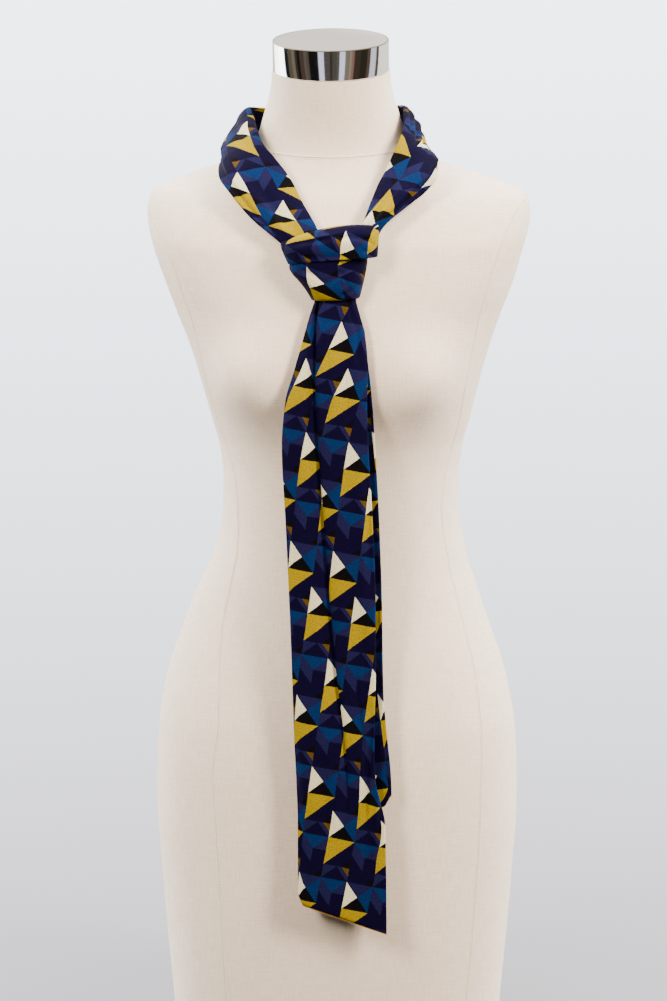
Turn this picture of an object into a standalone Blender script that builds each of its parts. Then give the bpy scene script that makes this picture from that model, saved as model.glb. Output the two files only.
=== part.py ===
"""Skinny scarf, wound round the neck of a limbless dress form and knotted at the front.

Metres, +Z up. The form stands on the plane z = 0, centred on the Z axis, and faces -Y.
Every table gives its sizes in millimetres.
"""

import bmesh
import bpy
import numpy as np

MM = 0.001

# Dress form, from the underside to the neck seam and on to the cap.
# A section is a superellipse with its own front and back depth about centre_y.
FORM = {
    "height": (0, 60, 120, 187, 249, 291, 330, 366, 393, 432, 454, 475, 492, 512, 533, 560, 582, 615,
               636, 671, 709, 747, 770, 810, 830, 846, 857, 865, 872, 880, 888, 895, 903, 914, 927, 944,
               959, 973, 981.5),
    "half_width": (161, 166.5, 172, 177.3, 181.2, 181, 179, 173.4, 167, 153.5, 145.5, 137.8, 130.6, 124.2,
                   119.6, 117.5, 117.4, 121.5, 127.5, 136.6, 147.5, 161.4, 170.3, 183.3, 188.3, 190, 188.5,
                   183, 168, 146, 122, 99, 84, 76, 71, 65.8, 61.3, 58.8, 58.3),
    "front": (93, 98, 102, 105, 107, 108, 107, 104.5, 102, 97, 94, 91.5, 90, 89, 88.5, 88.5, 89.5, 93,
              97, 105, 108, 105, 102, 94.5, 88.5, 83, 80, 77.5, 74.5, 71, 68, 65.5, 63, 60.5, 58.5, 57.5,
              57, 57, 57.3),
    "back": (103, 109, 114, 118, 120.5, 119.5, 116, 110, 105, 95.5, 91, 87, 84, 81, 79, 78, 79, 83, 86.5,
             92.5, 97.5, 101.5, 102.5, 101, 97.5, 93, 88, 82, 76, 70, 65, 61, 58.5, 57, 56.5, 56, 56,
             56.8, 57.3),
    "centre_y": (0, 0, 0, 0, 0, 0, 0, 0, 0, 0, 0, 0, 0, 0, 0, 0, 0, 0, 0, 0, 0, 0, 0, 1, 3, 5, 7, 9, 11,
                 12.5, 13.5, 14, 14, 13, 11, 8, 4.5, 1.5, 0),
    "centre_x": (0, 0, 0, 0, 0, 0, 0, -0.5, -0.5, -0.5, 0, 1, 2, 3.5, 4, 4, 4, 4, 4, 3.5, 3, 2, 2, 1, 1, 1,
                 1, 0, -1, -2, -3.5, -4.5, -5.5, -6, -6, -6, -6, -6, -6),
    "power": (2.3, 2.3, 2.3, 2.3, 2.3, 2.3, 2.3, 2.25, 2.2, 2.2, 2.2, 2.2, 2.2, 2.2, 2.2, 2.2, 2.2, 2.2,
              2.2, 2.25, 2.3, 2.35, 2.4, 2.4, 2.3, 2.15, 2.0, 1.9, 1.8, 1.8, 1.8, 1.85, 1.95, 2.0, 2.0,
              2.0, 2.0, 2.0, 2.0),
}
FORM_AROUND = 44
# Each run of rings starts at a height, and holds that many steps up to the next one.
FORM_RING_STARTS = (0.0, 0.43, 0.70, 0.855, 0.9815)
FORM_RING_STEPS = (7, 9, 6, 17)
NECK_TILT = 0.175
NECK_TILT_FROM = 0.885
NECK_TILT_TO = 0.960
BUST = {"angle": 0.66, "angle_spread": 0.36, "height": 0.682, "height_spread": 0.047, "depth": 0.022}
# Rounds that find a point's own level under the tilted neck, and the step that reads the surface's slope.
LEVEL_ROUNDS = 6
SLOPE_STEP = 0.0005

CAP_RADIUS = 0.0573
CAP_HEIGHT = 0.0305
CAP_EDGE = 0.0014
CAP_SIDES = 48
CAP_EDGE_SEGMENTS = 2
SHARP_ANGLE = 1.0

SEAM_GAP = 0.0003
STRETCH_GAP = 0.0006
CLOTH = 0.0016
CLOTH_CLEARANCE = 0.0004
# The cloth eases onto the form within a few times this distance, in this many rounds.
LAY_SOFTNESS = 0.0005
LAY_REACH = 6.0
LAY_LIMIT = 60.0
LAY_ROUNDS = 3

# The strip round the neck, from the knot up the wearer's right side (-X), round the nape and down again.
# A row is one section: its inner edge lies to the neck, its outer edge to the shoulder.
LOOP = {
    "inner_x": (-8, -11, -26, -41, -56, -68, -74, -76, -74, -62, -37, -5, 26, 50, 61, 65, 66, 63, 52, 45,
                39.5, 31, 26),
    "inner_y": (-103.5, -101, -84, -69, -60, -50, -33, -9, 15, 44, 65, 72, 65, 44, 19, -5, -26, -44, -62,
                -72, -83, -101, -103.5),
    "inner_z": (822, 832, 855.5, 881, 899, 912, 923, 934, 941, 941, 940, 940, 940, 942, 943, 938, 928, 916,
                889, 875, 861, 837.5, 824),
    "outer_x": (-42, -51, -77.5, -99, -112, -115, -115, -112, -105, -84, -48, -5, 36, 64, 80, 89, 97, 102,
                102, 91, 78.5, 53, 45),
    "outer_y": (-103.5, -101, -90, -77, -59, -40, -19, 4, 28, 62, 84, 91, 82, 60, 34, 8, -20, -45, -66,
                -76, -86, -101, -103.5),
    "outer_z": (814, 822, 842.5, 866, 882, 891, 895, 896, 896, 895, 894, 894, 895, 897, 898, 897, 896, 896,
                883, 869, 860, 837.5, 823),
    "crown": (2.5, 3, 5, 6, 7, 8.5, 9.5, 10, 9, 8, 7, 7, 7, 6, 5, 5, 5, 6, 7, 7, 5.5, 3, 2),
    "ledge": (0, 0, 0, 1, 3, 4.5, 4.5, 4, 3, 1, 0, 0, 0, 0, 0, 0, 0, 0, 0, 0, 0, 0, 0),
}
LOOP_ROUNDNESS = 2.4
LEDGE_START = 0.66
LEDGE_RUN = 0.12
LOOP_ACROSS = 13
# First and last row of each stretch, and its number of sections.
LOOP_STRETCHES = {
    "scarf_neck_left": (0, 8, 22),
    "scarf_neck_back": (8, 14, 15),
    "scarf_neck_right": (14, 22, 22),
}

# The knot's two turns, from the top edge down. A row is a C-shaped section whose sides turn back to
# back_y, and rise lifts its middle.
KNOT_BAND = {
    "left_x": (-42, -46, -48, -48, -47, -44, -43),
    "left_z": (818, 821, 820, 816, 811, 801, 800.5),
    "right_x": (42, 46, 48, 48, 47.5, 46.5, 46),
    "right_z": (832, 836, 835, 830, 820, 808.5, 807.5),
    "rise": (5, 6, 6, 5, 2, 0, 0),
    "front_y": (-109.5, -113.5, -119, -124.5, -128, -127.6, -125.3),
    "back_y": (-107, -107, -107, -107, -107, -107, -107),
}
KNOT_FACE = {
    "left_x": (-37, -38.5, -34, -28.5, -23, -18.5, -17),
    "left_z": (806, 797, 790, 783.5, 776, 768, 766),
    "right_x": (36.5, 36.5, 35.5, 34, 32, 29.5, 28.5),
    "right_z": (812, 804, 796, 789, 782, 773.5, 772),
    "rise": (0, 0, 0, 0, 0, -2, -2),
    "front_y": (-123.9, -124.1, -124.5, -125, -124.5, -121.5, -119),
    "back_y": (-102, -102, -102.5, -102.5, -103, -103.5, -104.5),
}
KNOT_POWER = 2.7
KNOT_AROUND = 21
KNOT_RINGS = 11

# The tails, from inside the knot down. A row gives the outline, the long pleat and how far the edges
# turn back, and the last row is below the lowest corner.
TAIL_LONG = {
    "height": (796, 782, 768, 750, 735, 699, 669, 625, 553, 475, 400, 335, 300, 275, 253, 170, 140),
    "left": (-11, -12, -13.5, -19, -23, -33, -41.5, -45, -41.5, -38, -35.2, -33.2, -31.5, -30.5, -30,
             -29.8, -29.8),
    "pleat": (-6, -8.5, -10.5, -13.5, -14.5, -15, -14, -11.5, -6, 0, 7, 15.5, 18, 17, 14, 8, 8),
    "right": (22, 24, 25.5, 30.5, 35, 38.5, 38, 39.5, 43.6, 46.6, 46.8, 45.5, 46.5, 52, 56.4, 57.8, 58),
    "front_y": (-111.5, -114.5, -116.6, -120, -123, -128, -130, -131, -131, -131, -131, -131, -130.5, -130,
                -129.5, -128.5, -128),
    "depth": (2.5, 3, 4, 5.5, 6.5, 7.5, 8, 8, 7.5, 6.5, 5, 3.5, 2.5, 1.5, 1, 0, 0),
    "turn": (7.5, 9.5, 11, 9, 8, 6.5, 5.5, 4.5, 4.5, 4.5, 4.5, 5, 5, 4, 3, 2, 2),
}
PLEAT_ALONG_WIDTH = 0.43
PLEAT_SPREAD = 0.075
# A tail's grid is its points across and its points down.
TAIL_LONG_GRID = (25, 26)
TAIL_LONG_END = {"left": 0.1724, "right": 0.143, "chamfer": 0.0095, "corner": 0.0, "chamfer_share": 0.06}

TAIL_SHORT = {
    "height": (794, 780, 768, 750, 735, 699, 669, 625, 553, 475, 386, 346, 300, 281, 240),
    "left": (-4, -4.5, -5, -6, -8, -16, -23, -27, -27, -27, -27, -27, -26, -26, -26),
    "pleat": (8, 8, 8, 8.5, 9, 9, 9, 9.5, 11, 12, 13, 14.5, 17, 17.6, 18),
    "right": (19, 20.5, 21.5, 28, 33.5, 39, 41.5, 44.5, 48.5, 51.2, 52.7, 55.9, 60.5, 61.3, 61.5),
    "front_y": (-109, -111.8, -113.9, -115.2, -116, -117, -118.2, -119, -119.5, -119.5, -119.5, -119.5,
                -119, -119, -118.5),
    "depth": (0, 0, 0, 0, 0, 0.5, 1, 1.5, 2, 2, 2, 1.5, 1, 1, 1),
    "turn": (3, 3, 3, 2.5, 2, 0.5, -1, -1.5, -2, -2, -2, -2, -1.5, -1, -1),
}
TAIL_SHORT_GRID = (13, 21)
TAIL_SHORT_END = {"left": 0.242, "right": 0.2724, "chamfer": 0.0086, "corner": 1.0, "chamfer_share": 0.08}

EDGE_POWER = 3.0
EDGE_REACH = 0.999

LINEN = ("form_linen", (0.80, 0.76, 0.70), 0.85, 0.0)
CAP_STEEL = ("cap_steel", (0.62, 0.60, 0.57), 0.25, 1.0)
SCARF_CLOTH = ("scarf_cloth", (0.03, 0.03, 0.09), 0.6, 0.0)


def clear_scene():
    for item in list(bpy.data.objects):
        bpy.data.objects.remove(item, do_unlink=True)


def make_collection(name):
    group = bpy.data.collections.new(name)
    bpy.context.scene.collection.children.link(group)
    return group


def make_material(name, colour, roughness, metallic):
    material = bpy.data.materials.new(name)
    material.use_nodes = True
    shader = material.node_tree.nodes["Principled BSDF"]
    shader.inputs["Base Color"].default_value = (*colour, 1.0)
    shader.inputs["Roughness"].default_value = roughness
    shader.inputs["Metallic"].default_value = metallic
    return material


# Smooth reading of the tables

def smooth(knots, values, at):
    """Piecewise cubic through the values, with slopes that never overshoot them."""
    knots = np.asarray(knots, float)
    values = np.asarray(values, float)
    at = np.clip(np.asarray(at, float), knots[0], knots[-1])
    gap = np.diff(knots)
    secant = np.diff(values) / gap
    slope = np.empty_like(values)
    slope[0] = secant[0]
    slope[-1] = secant[-1]
    before = secant[:-1]
    after = secant[1:]
    product = before * after
    total = np.where(product > 0, before + after, 1.0)
    slope[1:-1] = np.where(product > 0, 2.0 * product / total, 0.0)
    index = np.clip(np.searchsorted(knots, at, side="right") - 1, 0, len(gap) - 1)
    width = gap[index]
    t = (at - knots[index]) / width
    rise = t * t * (3.0 - 2.0 * t)
    return (
        values[index] * (1.0 - rise)
        + values[index + 1] * rise
        + width * slope[index] * t * (1.0 - t) ** 2
        - width * slope[index + 1] * t * t * (1.0 - t)
    )


def column(table, key, name, at):
    """One column of a table at the heights or distances given, in metres."""
    return smooth(np.asarray(table[key]) * MM, table[name], at) * MM


def step(value):
    value = np.clip(value, 0.0, 1.0)
    return value * value * (3.0 - 2.0 * value)


# The dress form's surface, which the cloth is laid on

def form_radius(angle, level):
    """Distance from the section's centre. The angle is 0 at the front and grows towards +X."""
    width = column(FORM, "height", "half_width", level)
    front = column(FORM, "height", "front", level)
    back = column(FORM, "height", "back", level)
    power = smooth(np.asarray(FORM["height"]) * MM, FORM["power"], level)
    depth = np.where(np.cos(angle) > 0, front, back)
    across = np.abs(np.sin(angle)) / width
    along = np.abs(np.cos(angle)) / depth
    radius = (across ** power + along ** power) ** (-1.0 / power)
    off_apex = (np.abs(angle) - BUST["angle"]) / BUST["angle_spread"]
    off_level = (level - BUST["height"]) / BUST["height_spread"]
    return radius + BUST["depth"] * np.exp(-off_apex ** 2 - off_level ** 2)


def neck_tilt(level):
    return NECK_TILT * step((level - NECK_TILT_FROM) / (NECK_TILT_TO - NECK_TILT_FROM))


def form_point(angle, level):
    radius = form_radius(angle, level)
    x = radius * np.sin(angle) + column(FORM, "height", "centre_x", level)
    ahead = -radius * np.cos(angle)
    y = ahead + column(FORM, "height", "centre_y", level)
    return np.stack([x, y, level + ahead * neck_tilt(level)], axis=-1)


def outside_form(points):
    """How far points lie outside the form's sections, measured level."""
    level = points[..., 2].copy()
    for _ in range(LEVEL_ROUNDS):
        ahead = points[..., 1] - column(FORM, "height", "centre_y", level)
        level = points[..., 2] - ahead * neck_tilt(level)
    ahead = points[..., 1] - column(FORM, "height", "centre_y", level)
    aside = points[..., 0] - column(FORM, "height", "centre_x", level)
    return np.hypot(aside, ahead) - form_radius(np.arctan2(aside, -ahead), level)


def off_form(points):
    """The true distance from the form, nearly, and the direction straight away from it."""
    reach = outside_form(points)
    slope = np.empty_like(points)
    for axis in range(3):
        shift = np.zeros(3)
        shift[axis] = SLOPE_STEP
        rise = outside_form(points + shift) - outside_form(points - shift)
        slope[..., axis] = rise / (2 * SLOPE_STEP)
    size = np.linalg.norm(slope, axis=-1)
    return reach / size, slope / size[..., None]


def lay_on_form(points, clearance):
    """Moves out, softly, each point that is nearer to the form than the clearance."""
    for _ in range(LAY_ROUNDS):
        distance, away = off_form(points)
        over = np.clip((distance - clearance) / LAY_SOFTNESS, -LAY_LIMIT, LAY_LIMIT)
        target = clearance + LAY_SOFTNESS * np.log1p(np.exp(over))
        move = np.where(over < LAY_REACH, target - distance, 0.0)
        points = points + away * np.clip(move, 0.0, None)[..., None]
    return points


# Meshes

def grid_faces(rows, columns, wrap):
    faces = []
    last = columns if wrap else columns - 1
    for row in range(rows - 1):
        for place in range(last):
            after = (place + 1) % columns
            faces.append((
                row * columns + place,
                row * columns + after,
                (row + 1) * columns + after,
                (row + 1) * columns + place,
            ))
    return faces


def add_object(name, mesh, group, material):
    thing = bpy.data.objects.new(name, mesh)
    group.objects.link(thing)
    mesh.materials.append(material)
    mesh.shade_smooth()
    return thing


def cloth_from_grid(name, points, group, material, flip=False):
    """An open lofted sheet whose faces look away from the form, given its wall inwards."""
    rows, columns, _ = points.shape
    faces = grid_faces(rows, columns, wrap=False)
    if flip:
        faces = [face[::-1] for face in faces]
    mesh = bpy.data.meshes.new(name)
    mesh.from_pydata(points.reshape(-1, 3).tolist(), [], faces)
    thing = add_object(name, mesh, group, material)
    wall = thing.modifiers.new("wall", "SOLIDIFY")
    wall.thickness = CLOTH
    wall.offset = -1.0
    wall.use_even_offset = False
    return thing


# Dress form

def make_form_body(group, material):
    heights = np.asarray(FORM["height"]) * MM
    widths = np.asarray(FORM["half_width"]) * MM
    run = np.concatenate([[0.0], np.cumsum(np.hypot(np.diff(heights), np.diff(widths)))])
    marks = np.interp(FORM_RING_STARTS, heights, run)
    spread = [np.linspace(marks[part], marks[part + 1], steps, endpoint=False)
              for part, steps in enumerate(FORM_RING_STEPS)]
    levels = np.interp(np.concatenate(spread + [marks[-1:]]), run, heights)
    rings = len(levels)
    angles = np.linspace(-np.pi, np.pi, FORM_AROUND, endpoint=False)
    around, level = np.meshgrid(angles, levels)
    points = form_point(around, level)
    faces = grid_faces(rings, FORM_AROUND, wrap=True)
    bottom = tuple(range(FORM_AROUND))
    top = tuple((rings - 1) * FORM_AROUND + place for place in range(FORM_AROUND))
    mesh = bpy.data.meshes.new("form_body")
    mesh.from_pydata(points.reshape(-1, 3).tolist(), [], faces + [bottom[::-1], top])
    close = bmesh.new()
    close.from_mesh(mesh)
    bmesh.ops.recalc_face_normals(close, faces=close.faces)
    close.to_mesh(mesh)
    close.free()
    body = add_object("form_body", mesh, group, material)
    mesh.set_sharp_from_angle(angle=SHARP_ANGLE)
    return body


def make_neck_cap(group, material):
    tilt = np.arctan(NECK_TILT)
    top = np.array([FORM["centre_x"][-1], FORM["centre_y"][-1], FORM["height"][-1]]) * MM
    axis = np.array([0.0, -np.sin(tilt), np.cos(tilt)])
    middle = top + axis * (SEAM_GAP + CAP_HEIGHT / 2)
    bpy.ops.mesh.primitive_cylinder_add(
        vertices=CAP_SIDES, radius=CAP_RADIUS, depth=CAP_HEIGHT, location=middle, rotation=(tilt, 0.0, 0.0)
    )
    cap = bpy.context.object
    cap.name = "form_neck_cap"
    cap.data.name = "form_neck_cap"
    for owner in list(cap.users_collection):
        owner.objects.unlink(cap)
    group.objects.link(cap)
    cap.data.materials.append(material)
    edge = cap.modifiers.new("edge", "BEVEL")
    edge.width = CAP_EDGE
    edge.segments = CAP_EDGE_SEGMENTS
    edge.limit_method = "ANGLE"
    cap.data.shade_smooth()
    cap.data.set_sharp_from_angle(angle=SHARP_ANGLE)
    return cap


# Scarf round the neck

def loop_stations():
    inner = np.stack([LOOP["inner_x"], LOOP["inner_y"], LOOP["inner_z"]], axis=-1) * MM
    outer = np.stack([LOOP["outer_x"], LOOP["outer_y"], LOOP["outer_z"]], axis=-1) * MM
    middle = (inner + outer) / 2
    steps = np.linalg.norm(np.diff(middle, axis=0), axis=1)
    return inner, outer, np.concatenate([[0.0], np.cumsum(steps)])


def loop_points(places, across):
    """Points of the strip at distances along it and at places -1 to 1 across it, laid on the form."""
    inner, outer, stations = loop_stations()
    inside = np.stack([smooth(stations, inner[:, axis], places) for axis in range(3)], axis=-1)
    outside = np.stack([smooth(stations, outer[:, axis], places) for axis in range(3)], axis=-1)
    crown = smooth(stations, LOOP["crown"], places) * MM
    ledge = smooth(stations, LOOP["ledge"], places) * MM
    middle = (inside + outside) / 2
    chord = outside - inside
    forward = np.gradient(middle, places, axis=0)
    away = np.cross(forward, chord)
    away /= np.linalg.norm(away, axis=1)[:, None]
    flat = inside[:, None] + chord[:, None] * (across[None, :, None] + 1) / 2
    arch = (1 - np.abs(across) ** LOOP_ROUNDNESS) ** (1 / LOOP_ROUNDNESS)
    height = crown[:, None] * arch[None, :]
    height -= ledge[:, None] * step((across - LEDGE_START) / LEDGE_RUN)[None, :]
    points = flat + away[:, None] * height[..., None]
    return lay_on_form(points, CLOTH + CLOTH_CLEARANCE)


def make_neck_stretch(name, group, material):
    first, last, sections = LOOP_STRETCHES[name]
    stations = loop_stations()[2]
    start = stations[first] + (STRETCH_GAP if first > 0 else 0.0)
    places = np.linspace(start, stations[last], sections)
    across = EDGE_REACH * np.sin(np.linspace(-np.pi / 2, np.pi / 2, LOOP_ACROSS))
    return cloth_from_grid(name, loop_points(places, across), group, material)


# Knot

def make_knot_turn(name, table, group, material):
    rows = np.arange(len(table["left_x"]), dtype=float)
    level = np.linspace(0.0, rows[-1], KNOT_RINGS)
    read = {key: smooth(rows, values, level) * MM for key, values in table.items()}
    turn = np.linspace(-np.pi / 2, np.pi / 2, KNOT_AROUND)
    side = np.sign(np.sin(turn)) * np.abs(np.sin(turn)) ** (2 / KNOT_POWER)
    reach = np.abs(np.cos(turn)) ** (2 / KNOT_POWER)
    share = (side + 1) / 2
    x = read["left_x"][:, None] * (1 - share) + read["right_x"][:, None] * share
    y = read["back_y"][:, None] * (1 - reach) + read["front_y"][:, None] * reach
    z = read["left_z"][:, None] * (1 - share) + read["right_z"][:, None] * share
    z += read["rise"][:, None] * (1 - side ** 2)
    return cloth_from_grid(name, np.stack([x, y, z], axis=-1), group, material, flip=True)


# Tails

def tail_points(table, end, places, rows):
    """Points of a tail at shares 0 to 1 of its cloth width, each run going down to the slanted end."""
    top = table["height"][0] * MM
    low = end["left"] + (end["right"] - end["left"]) * places
    off_corner = np.abs(places - end["corner"]) / end["chamfer_share"]
    low = low + end["chamfer"] * np.clip(1 - off_corner, 0, 1)
    share = np.linspace(0.0, 1.0, rows)
    z = top + (low[None, :] - top) * share[:, None]
    knots = -np.asarray(table["height"]) * MM
    read = {}
    for key in ("left", "pleat", "right", "front_y", "depth", "turn"):
        read[key] = smooth(knots, table[key], -z) * MM
    fold = PLEAT_ALONG_WIDTH
    left_share = np.clip(places / fold, 0, 1)[None, :]
    right_share = np.clip((places - fold) / (1 - fold), 0, 1)[None, :]
    x = read["left"] + (read["pleat"] - read["left"]) * left_share
    x += (read["right"] - read["pleat"]) * right_share
    across = EDGE_REACH * (2 * (x - read["left"]) / (read["right"] - read["left"]) - 1)
    curl = 1 - (1 - np.abs(across) ** EDGE_POWER) ** (1 / EDGE_POWER)
    dip = np.exp(-((places - fold) / PLEAT_SPREAD) ** 2)[None, :]
    y = read["front_y"] + read["turn"] * curl + read["depth"] * dip
    return np.stack([x, y, z], axis=-1)


def make_tail(name, table, end, grid, group, material):
    across, rows = grid
    places = (1 + np.sin(np.linspace(-np.pi / 2, np.pi / 2, across))) / 2
    points = tail_points(table, end, places, rows)
    points = lay_on_form(points, CLOTH + CLOTH_CLEARANCE)
    return cloth_from_grid(name, points, group, material, flip=True)


def main():
    clear_scene()
    group = make_collection("skinny_scarf_on_dress_form")
    linen = make_material(*LINEN)
    steel = make_material(*CAP_STEEL)
    cloth = make_material(*SCARF_CLOTH)
    make_form_body(group, linen)
    make_neck_cap(group, steel)
    for name in LOOP_STRETCHES:
        make_neck_stretch(name, group, cloth)
    make_knot_turn("scarf_knot_band", KNOT_BAND, group, cloth)
    make_knot_turn("scarf_knot_face", KNOT_FACE, group, cloth)
    make_tail("scarf_tail_long", TAIL_LONG, TAIL_LONG_END, TAIL_LONG_GRID, group, cloth)
    make_tail("scarf_tail_short", TAIL_SHORT, TAIL_SHORT_END, TAIL_SHORT_GRID, group, cloth)


main()
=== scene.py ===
"""The looks of a skinny scarf, wound round the neck of a limbless dress form and knotted at the front.

Metres, +Z up. The form faces -Y. Tables give their sizes in millimetres.
"""

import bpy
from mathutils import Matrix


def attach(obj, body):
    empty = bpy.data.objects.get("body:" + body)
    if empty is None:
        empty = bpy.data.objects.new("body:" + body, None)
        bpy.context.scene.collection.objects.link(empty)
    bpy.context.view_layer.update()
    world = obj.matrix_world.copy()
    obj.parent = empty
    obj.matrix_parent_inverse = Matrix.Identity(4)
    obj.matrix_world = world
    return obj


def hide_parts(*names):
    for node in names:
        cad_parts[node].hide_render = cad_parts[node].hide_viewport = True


bl_info = {
    "name": "Skinny Scarf on a Dress Form",
    "version": (1, 0, 0),
    "blender": (4, 5, 0),
    "location": "View3D > Sidebar > Scarf",
    "description": "Makes the cloth, form and studio of a knotted skinny scarf",
    "category": "Add Mesh",
}

import bmesh
import bpy
import numpy as np
from mathutils import Vector

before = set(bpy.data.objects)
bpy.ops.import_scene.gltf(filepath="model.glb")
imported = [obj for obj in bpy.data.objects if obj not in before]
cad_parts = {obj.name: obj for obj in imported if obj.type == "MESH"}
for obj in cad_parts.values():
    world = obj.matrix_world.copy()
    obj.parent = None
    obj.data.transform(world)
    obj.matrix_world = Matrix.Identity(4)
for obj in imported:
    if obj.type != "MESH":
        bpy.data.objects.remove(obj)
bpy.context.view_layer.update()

MM = 0.001

# The dress form, from the underside to the neck seam and on to the cap.
# A section is a superellipse with its own front and back depth about centre_y.
FORM = {
    "height": (0, 60, 120, 187, 249, 291, 330, 366, 393, 432, 454, 475, 492, 512, 533, 560, 582, 615,
               636, 671, 709, 747, 770, 810, 830, 846, 857, 865, 872, 880, 888, 895, 903, 914, 927, 944,
               959, 973.8, 983),
    "half_width": (161, 166.5, 172, 177.3, 181.2, 181, 179, 173.4, 167, 153.5, 145.5, 137.8, 130.6, 124.2,
                   119.6, 117.5, 117.4, 121.5, 127.5, 136.6, 147.5, 161.4, 170.3, 183.3, 188.3, 190, 188.5,
                   183, 168, 146, 122, 99, 84, 76, 71, 65.8, 61.3, 58.8, 58.3),
    "front": (93, 98, 102, 105, 107, 108, 107, 104.5, 102, 97, 94, 91.5, 90, 89, 88.5, 88.5, 89.5, 93,
              97, 105, 108, 105, 102, 94.5, 88.5, 83, 80, 77.5, 74.5, 71, 68, 65.5, 63, 60.5, 58.5, 57.5,
              57, 57, 57.3),
    "back": (103, 109, 114, 118, 120.5, 119.5, 116, 110, 105, 95.5, 91, 87, 84, 81, 79, 78, 79, 83, 86.5,
             92.5, 97.5, 101.5, 102.5, 101, 97.5, 93, 88, 82, 76, 70, 65, 61, 58.5, 57, 56.5, 56, 56,
             56.8, 57.3),
    "centre_y": (0,) * 23 + (1, 3, 5, 7, 9, 11, 12.5, 13.5, 14, 14, 13, 11, 8, 4.5, 1.5, 0),
    "centre_x": (0,) * 7 + (-0.5, -0.5, -0.5, 0, 1, 2, 3.5, 4, 4, 4, 4, 4, 3.5, 3, 2, 2, 1, 1, 1, 1, 0, -1,
                            -2, -3.5, -4.5, -5.5) + (-6,) * 6,
    "power": (2.3,) * 7 + (2.25,) + (2.2,) * 11 + (2.25, 2.3, 2.35, 2.4, 2.4, 2.3, 2.15, 2.0, 1.9, 1.8, 1.8,
                                                   1.8, 1.85, 1.95) + (2.0,) * 6,
}
FORM_AROUND = 216
FORM_RING_PITCH = 0.0042
FORM_FOOT_ROUND = 0.0035
NECK_TILT = 0.175
NECK_TILT_FROM = 0.885
NECK_TILT_TO = 0.960
BUST = {"angle": 0.66, "angle_spread": 0.36, "height": 0.682, "height_spread": 0.047, "depth": 0.022}
LEVEL_ROUNDS = 6
SLOPE_STEP = 0.0005

# The cover's seams. Turns are angles round the form from the middle of its front, in degrees.
PANEL_SEAMS = {
    "height": (0, 80, 180, 240, 298, 340, 386, 437, 502, 556, 583, 612, 640, 680, 724, 770, 802, 830, 850,
               858, 866, 880, 893, 903),
    "left": (52.5, 52.2, 51.8, 52.2, 52.8, 51.5, 53.4, 56.5, 58.7, 62, 63.8, 68.2, 69.6, 67.6, 66.9, 69.3,
             72.4, 78.5, 85, 87.5, 89, 89.5, 90, 90),
    "right": (63.8, 64, 64.4, 64.5, 64.8, 65.6, 67, 67.6, 66.6, 65.1, 67, 70.4, 70, 66, 66.6, 67.8, 70.5,
              74.6, 80.5, 85.5, 88.5, 89.5, 90, 90),
}
NECK_SEAM = {"side": 0.9065, "front_drop": 0.0060, "points": 220}
SEAM_FOOT = 0.004
SEAM_PITCH = 0.0022
# The back seams end at this row of the table, on the shoulder.
SHOULDER_ROW = -5
SEAM_SECTION = {"place": (-2.4, -1.7, -0.9, -0.35, 0, 0.35, 0.9, 1.7, 2.4),
                "rise": (-0.25, 0.14, 0.42, 0.30, -0.10, 0.30, 0.42, 0.14, -0.25)}

CAP_RADIUS = 0.0573
CAP_AROUND = 192
# The cap's turned outline, from the middle of its underside to the middle of its top.
CAP_OUTLINE = {
    "radius": (0, 55.8, 56.7, 57.15, 57.3, 57.3, 57.2, 56.9, 56.4, 55.9, 55.5, 55.3, 0),
    "height": (0, 0, 0.15, 0.55, 1.1, 29.5, 30.0, 30.35, 30.5, 30.48, 30.35, 30.2, 30.2),
}
# Past this row the cap is its turned edge, or its top where it faces nearly along the axis.
CAP_RIM_FROM = 5
CAP_FLAT = 0.99
CAP_SHARP = 0.9
COVER_SHARP = 1.2
COVER_CHART = 0.17

SEAM_GAP = 0.0003
CLOTH_CLEARANCE = 0.0004
LAY_SOFTNESS = 0.0005
LAY_REACH = 6.0
LAY_LIMIT = 60.0
LAY_ROUNDS = 3

# The strip round the neck, from the knot up the wearer's right side (-X), round the nape and down again.
LOOP = {
    "inner_x": (-8, -11, -26, -41, -56, -68, -75, -80, -87, -70, -39, -5, 27, 52, 61.5, 65, 66, 63, 52, 45,
                39.5, 31, 26),
    "inner_y": (-103.5, -101, -84, -69, -60, -50, -32, -6, 24, 52, 67, 72, 67, 50, 24, -4, -26, -44, -62,
                -72, -83, -101, -103.5),
    "inner_z": (822, 832, 855.5, 881, 899, 912, 924, 935, 945, 943, 940, 940, 942, 946, 947, 940, 928, 916,
                889, 875, 861, 837.5, 824),
    "outer_x": (-42, -51, -77.5, -99, -112, -115, -115, -112, -105, -84, -48, -5, 36, 64, 80, 89, 97, 102,
                102, 91, 78.5, 53, 45),
    "outer_y": (-103.5, -101, -90, -77, -59, -40, -19, 4, 28, 62, 84, 91, 82, 60, 34, 8, -20, -45, -66,
                -76, -86, -101, -103.5),
    "outer_z": (814, 822, 842.5, 866, 882, 891, 895, 896, 896, 895, 894, 894, 895, 897, 898, 897, 896, 896,
                883, 869, 860, 837.5, 823),
    "crown": (2.5, 3, 5, 6, 7, 8.5, 11, 12.5, 10, 8, 7, 7, 7, 8, 10.5, 8, 6, 6, 7, 7, 5.5, 3, 2),
    "ledge": (0, 0, 0, 1, 3, 4.5, 4.5, 4, 3, 1, 0, 0, 0, 0, 0, 0, 0, 0, 1.5, 3, 3.5, 2.6, 1.2),
}
LOOP_ROUNDNESS = 2.4
LEDGE_START = 0.66
LEDGE_RUN = 0.12
LOOP_GRID = (300, 71)
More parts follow.
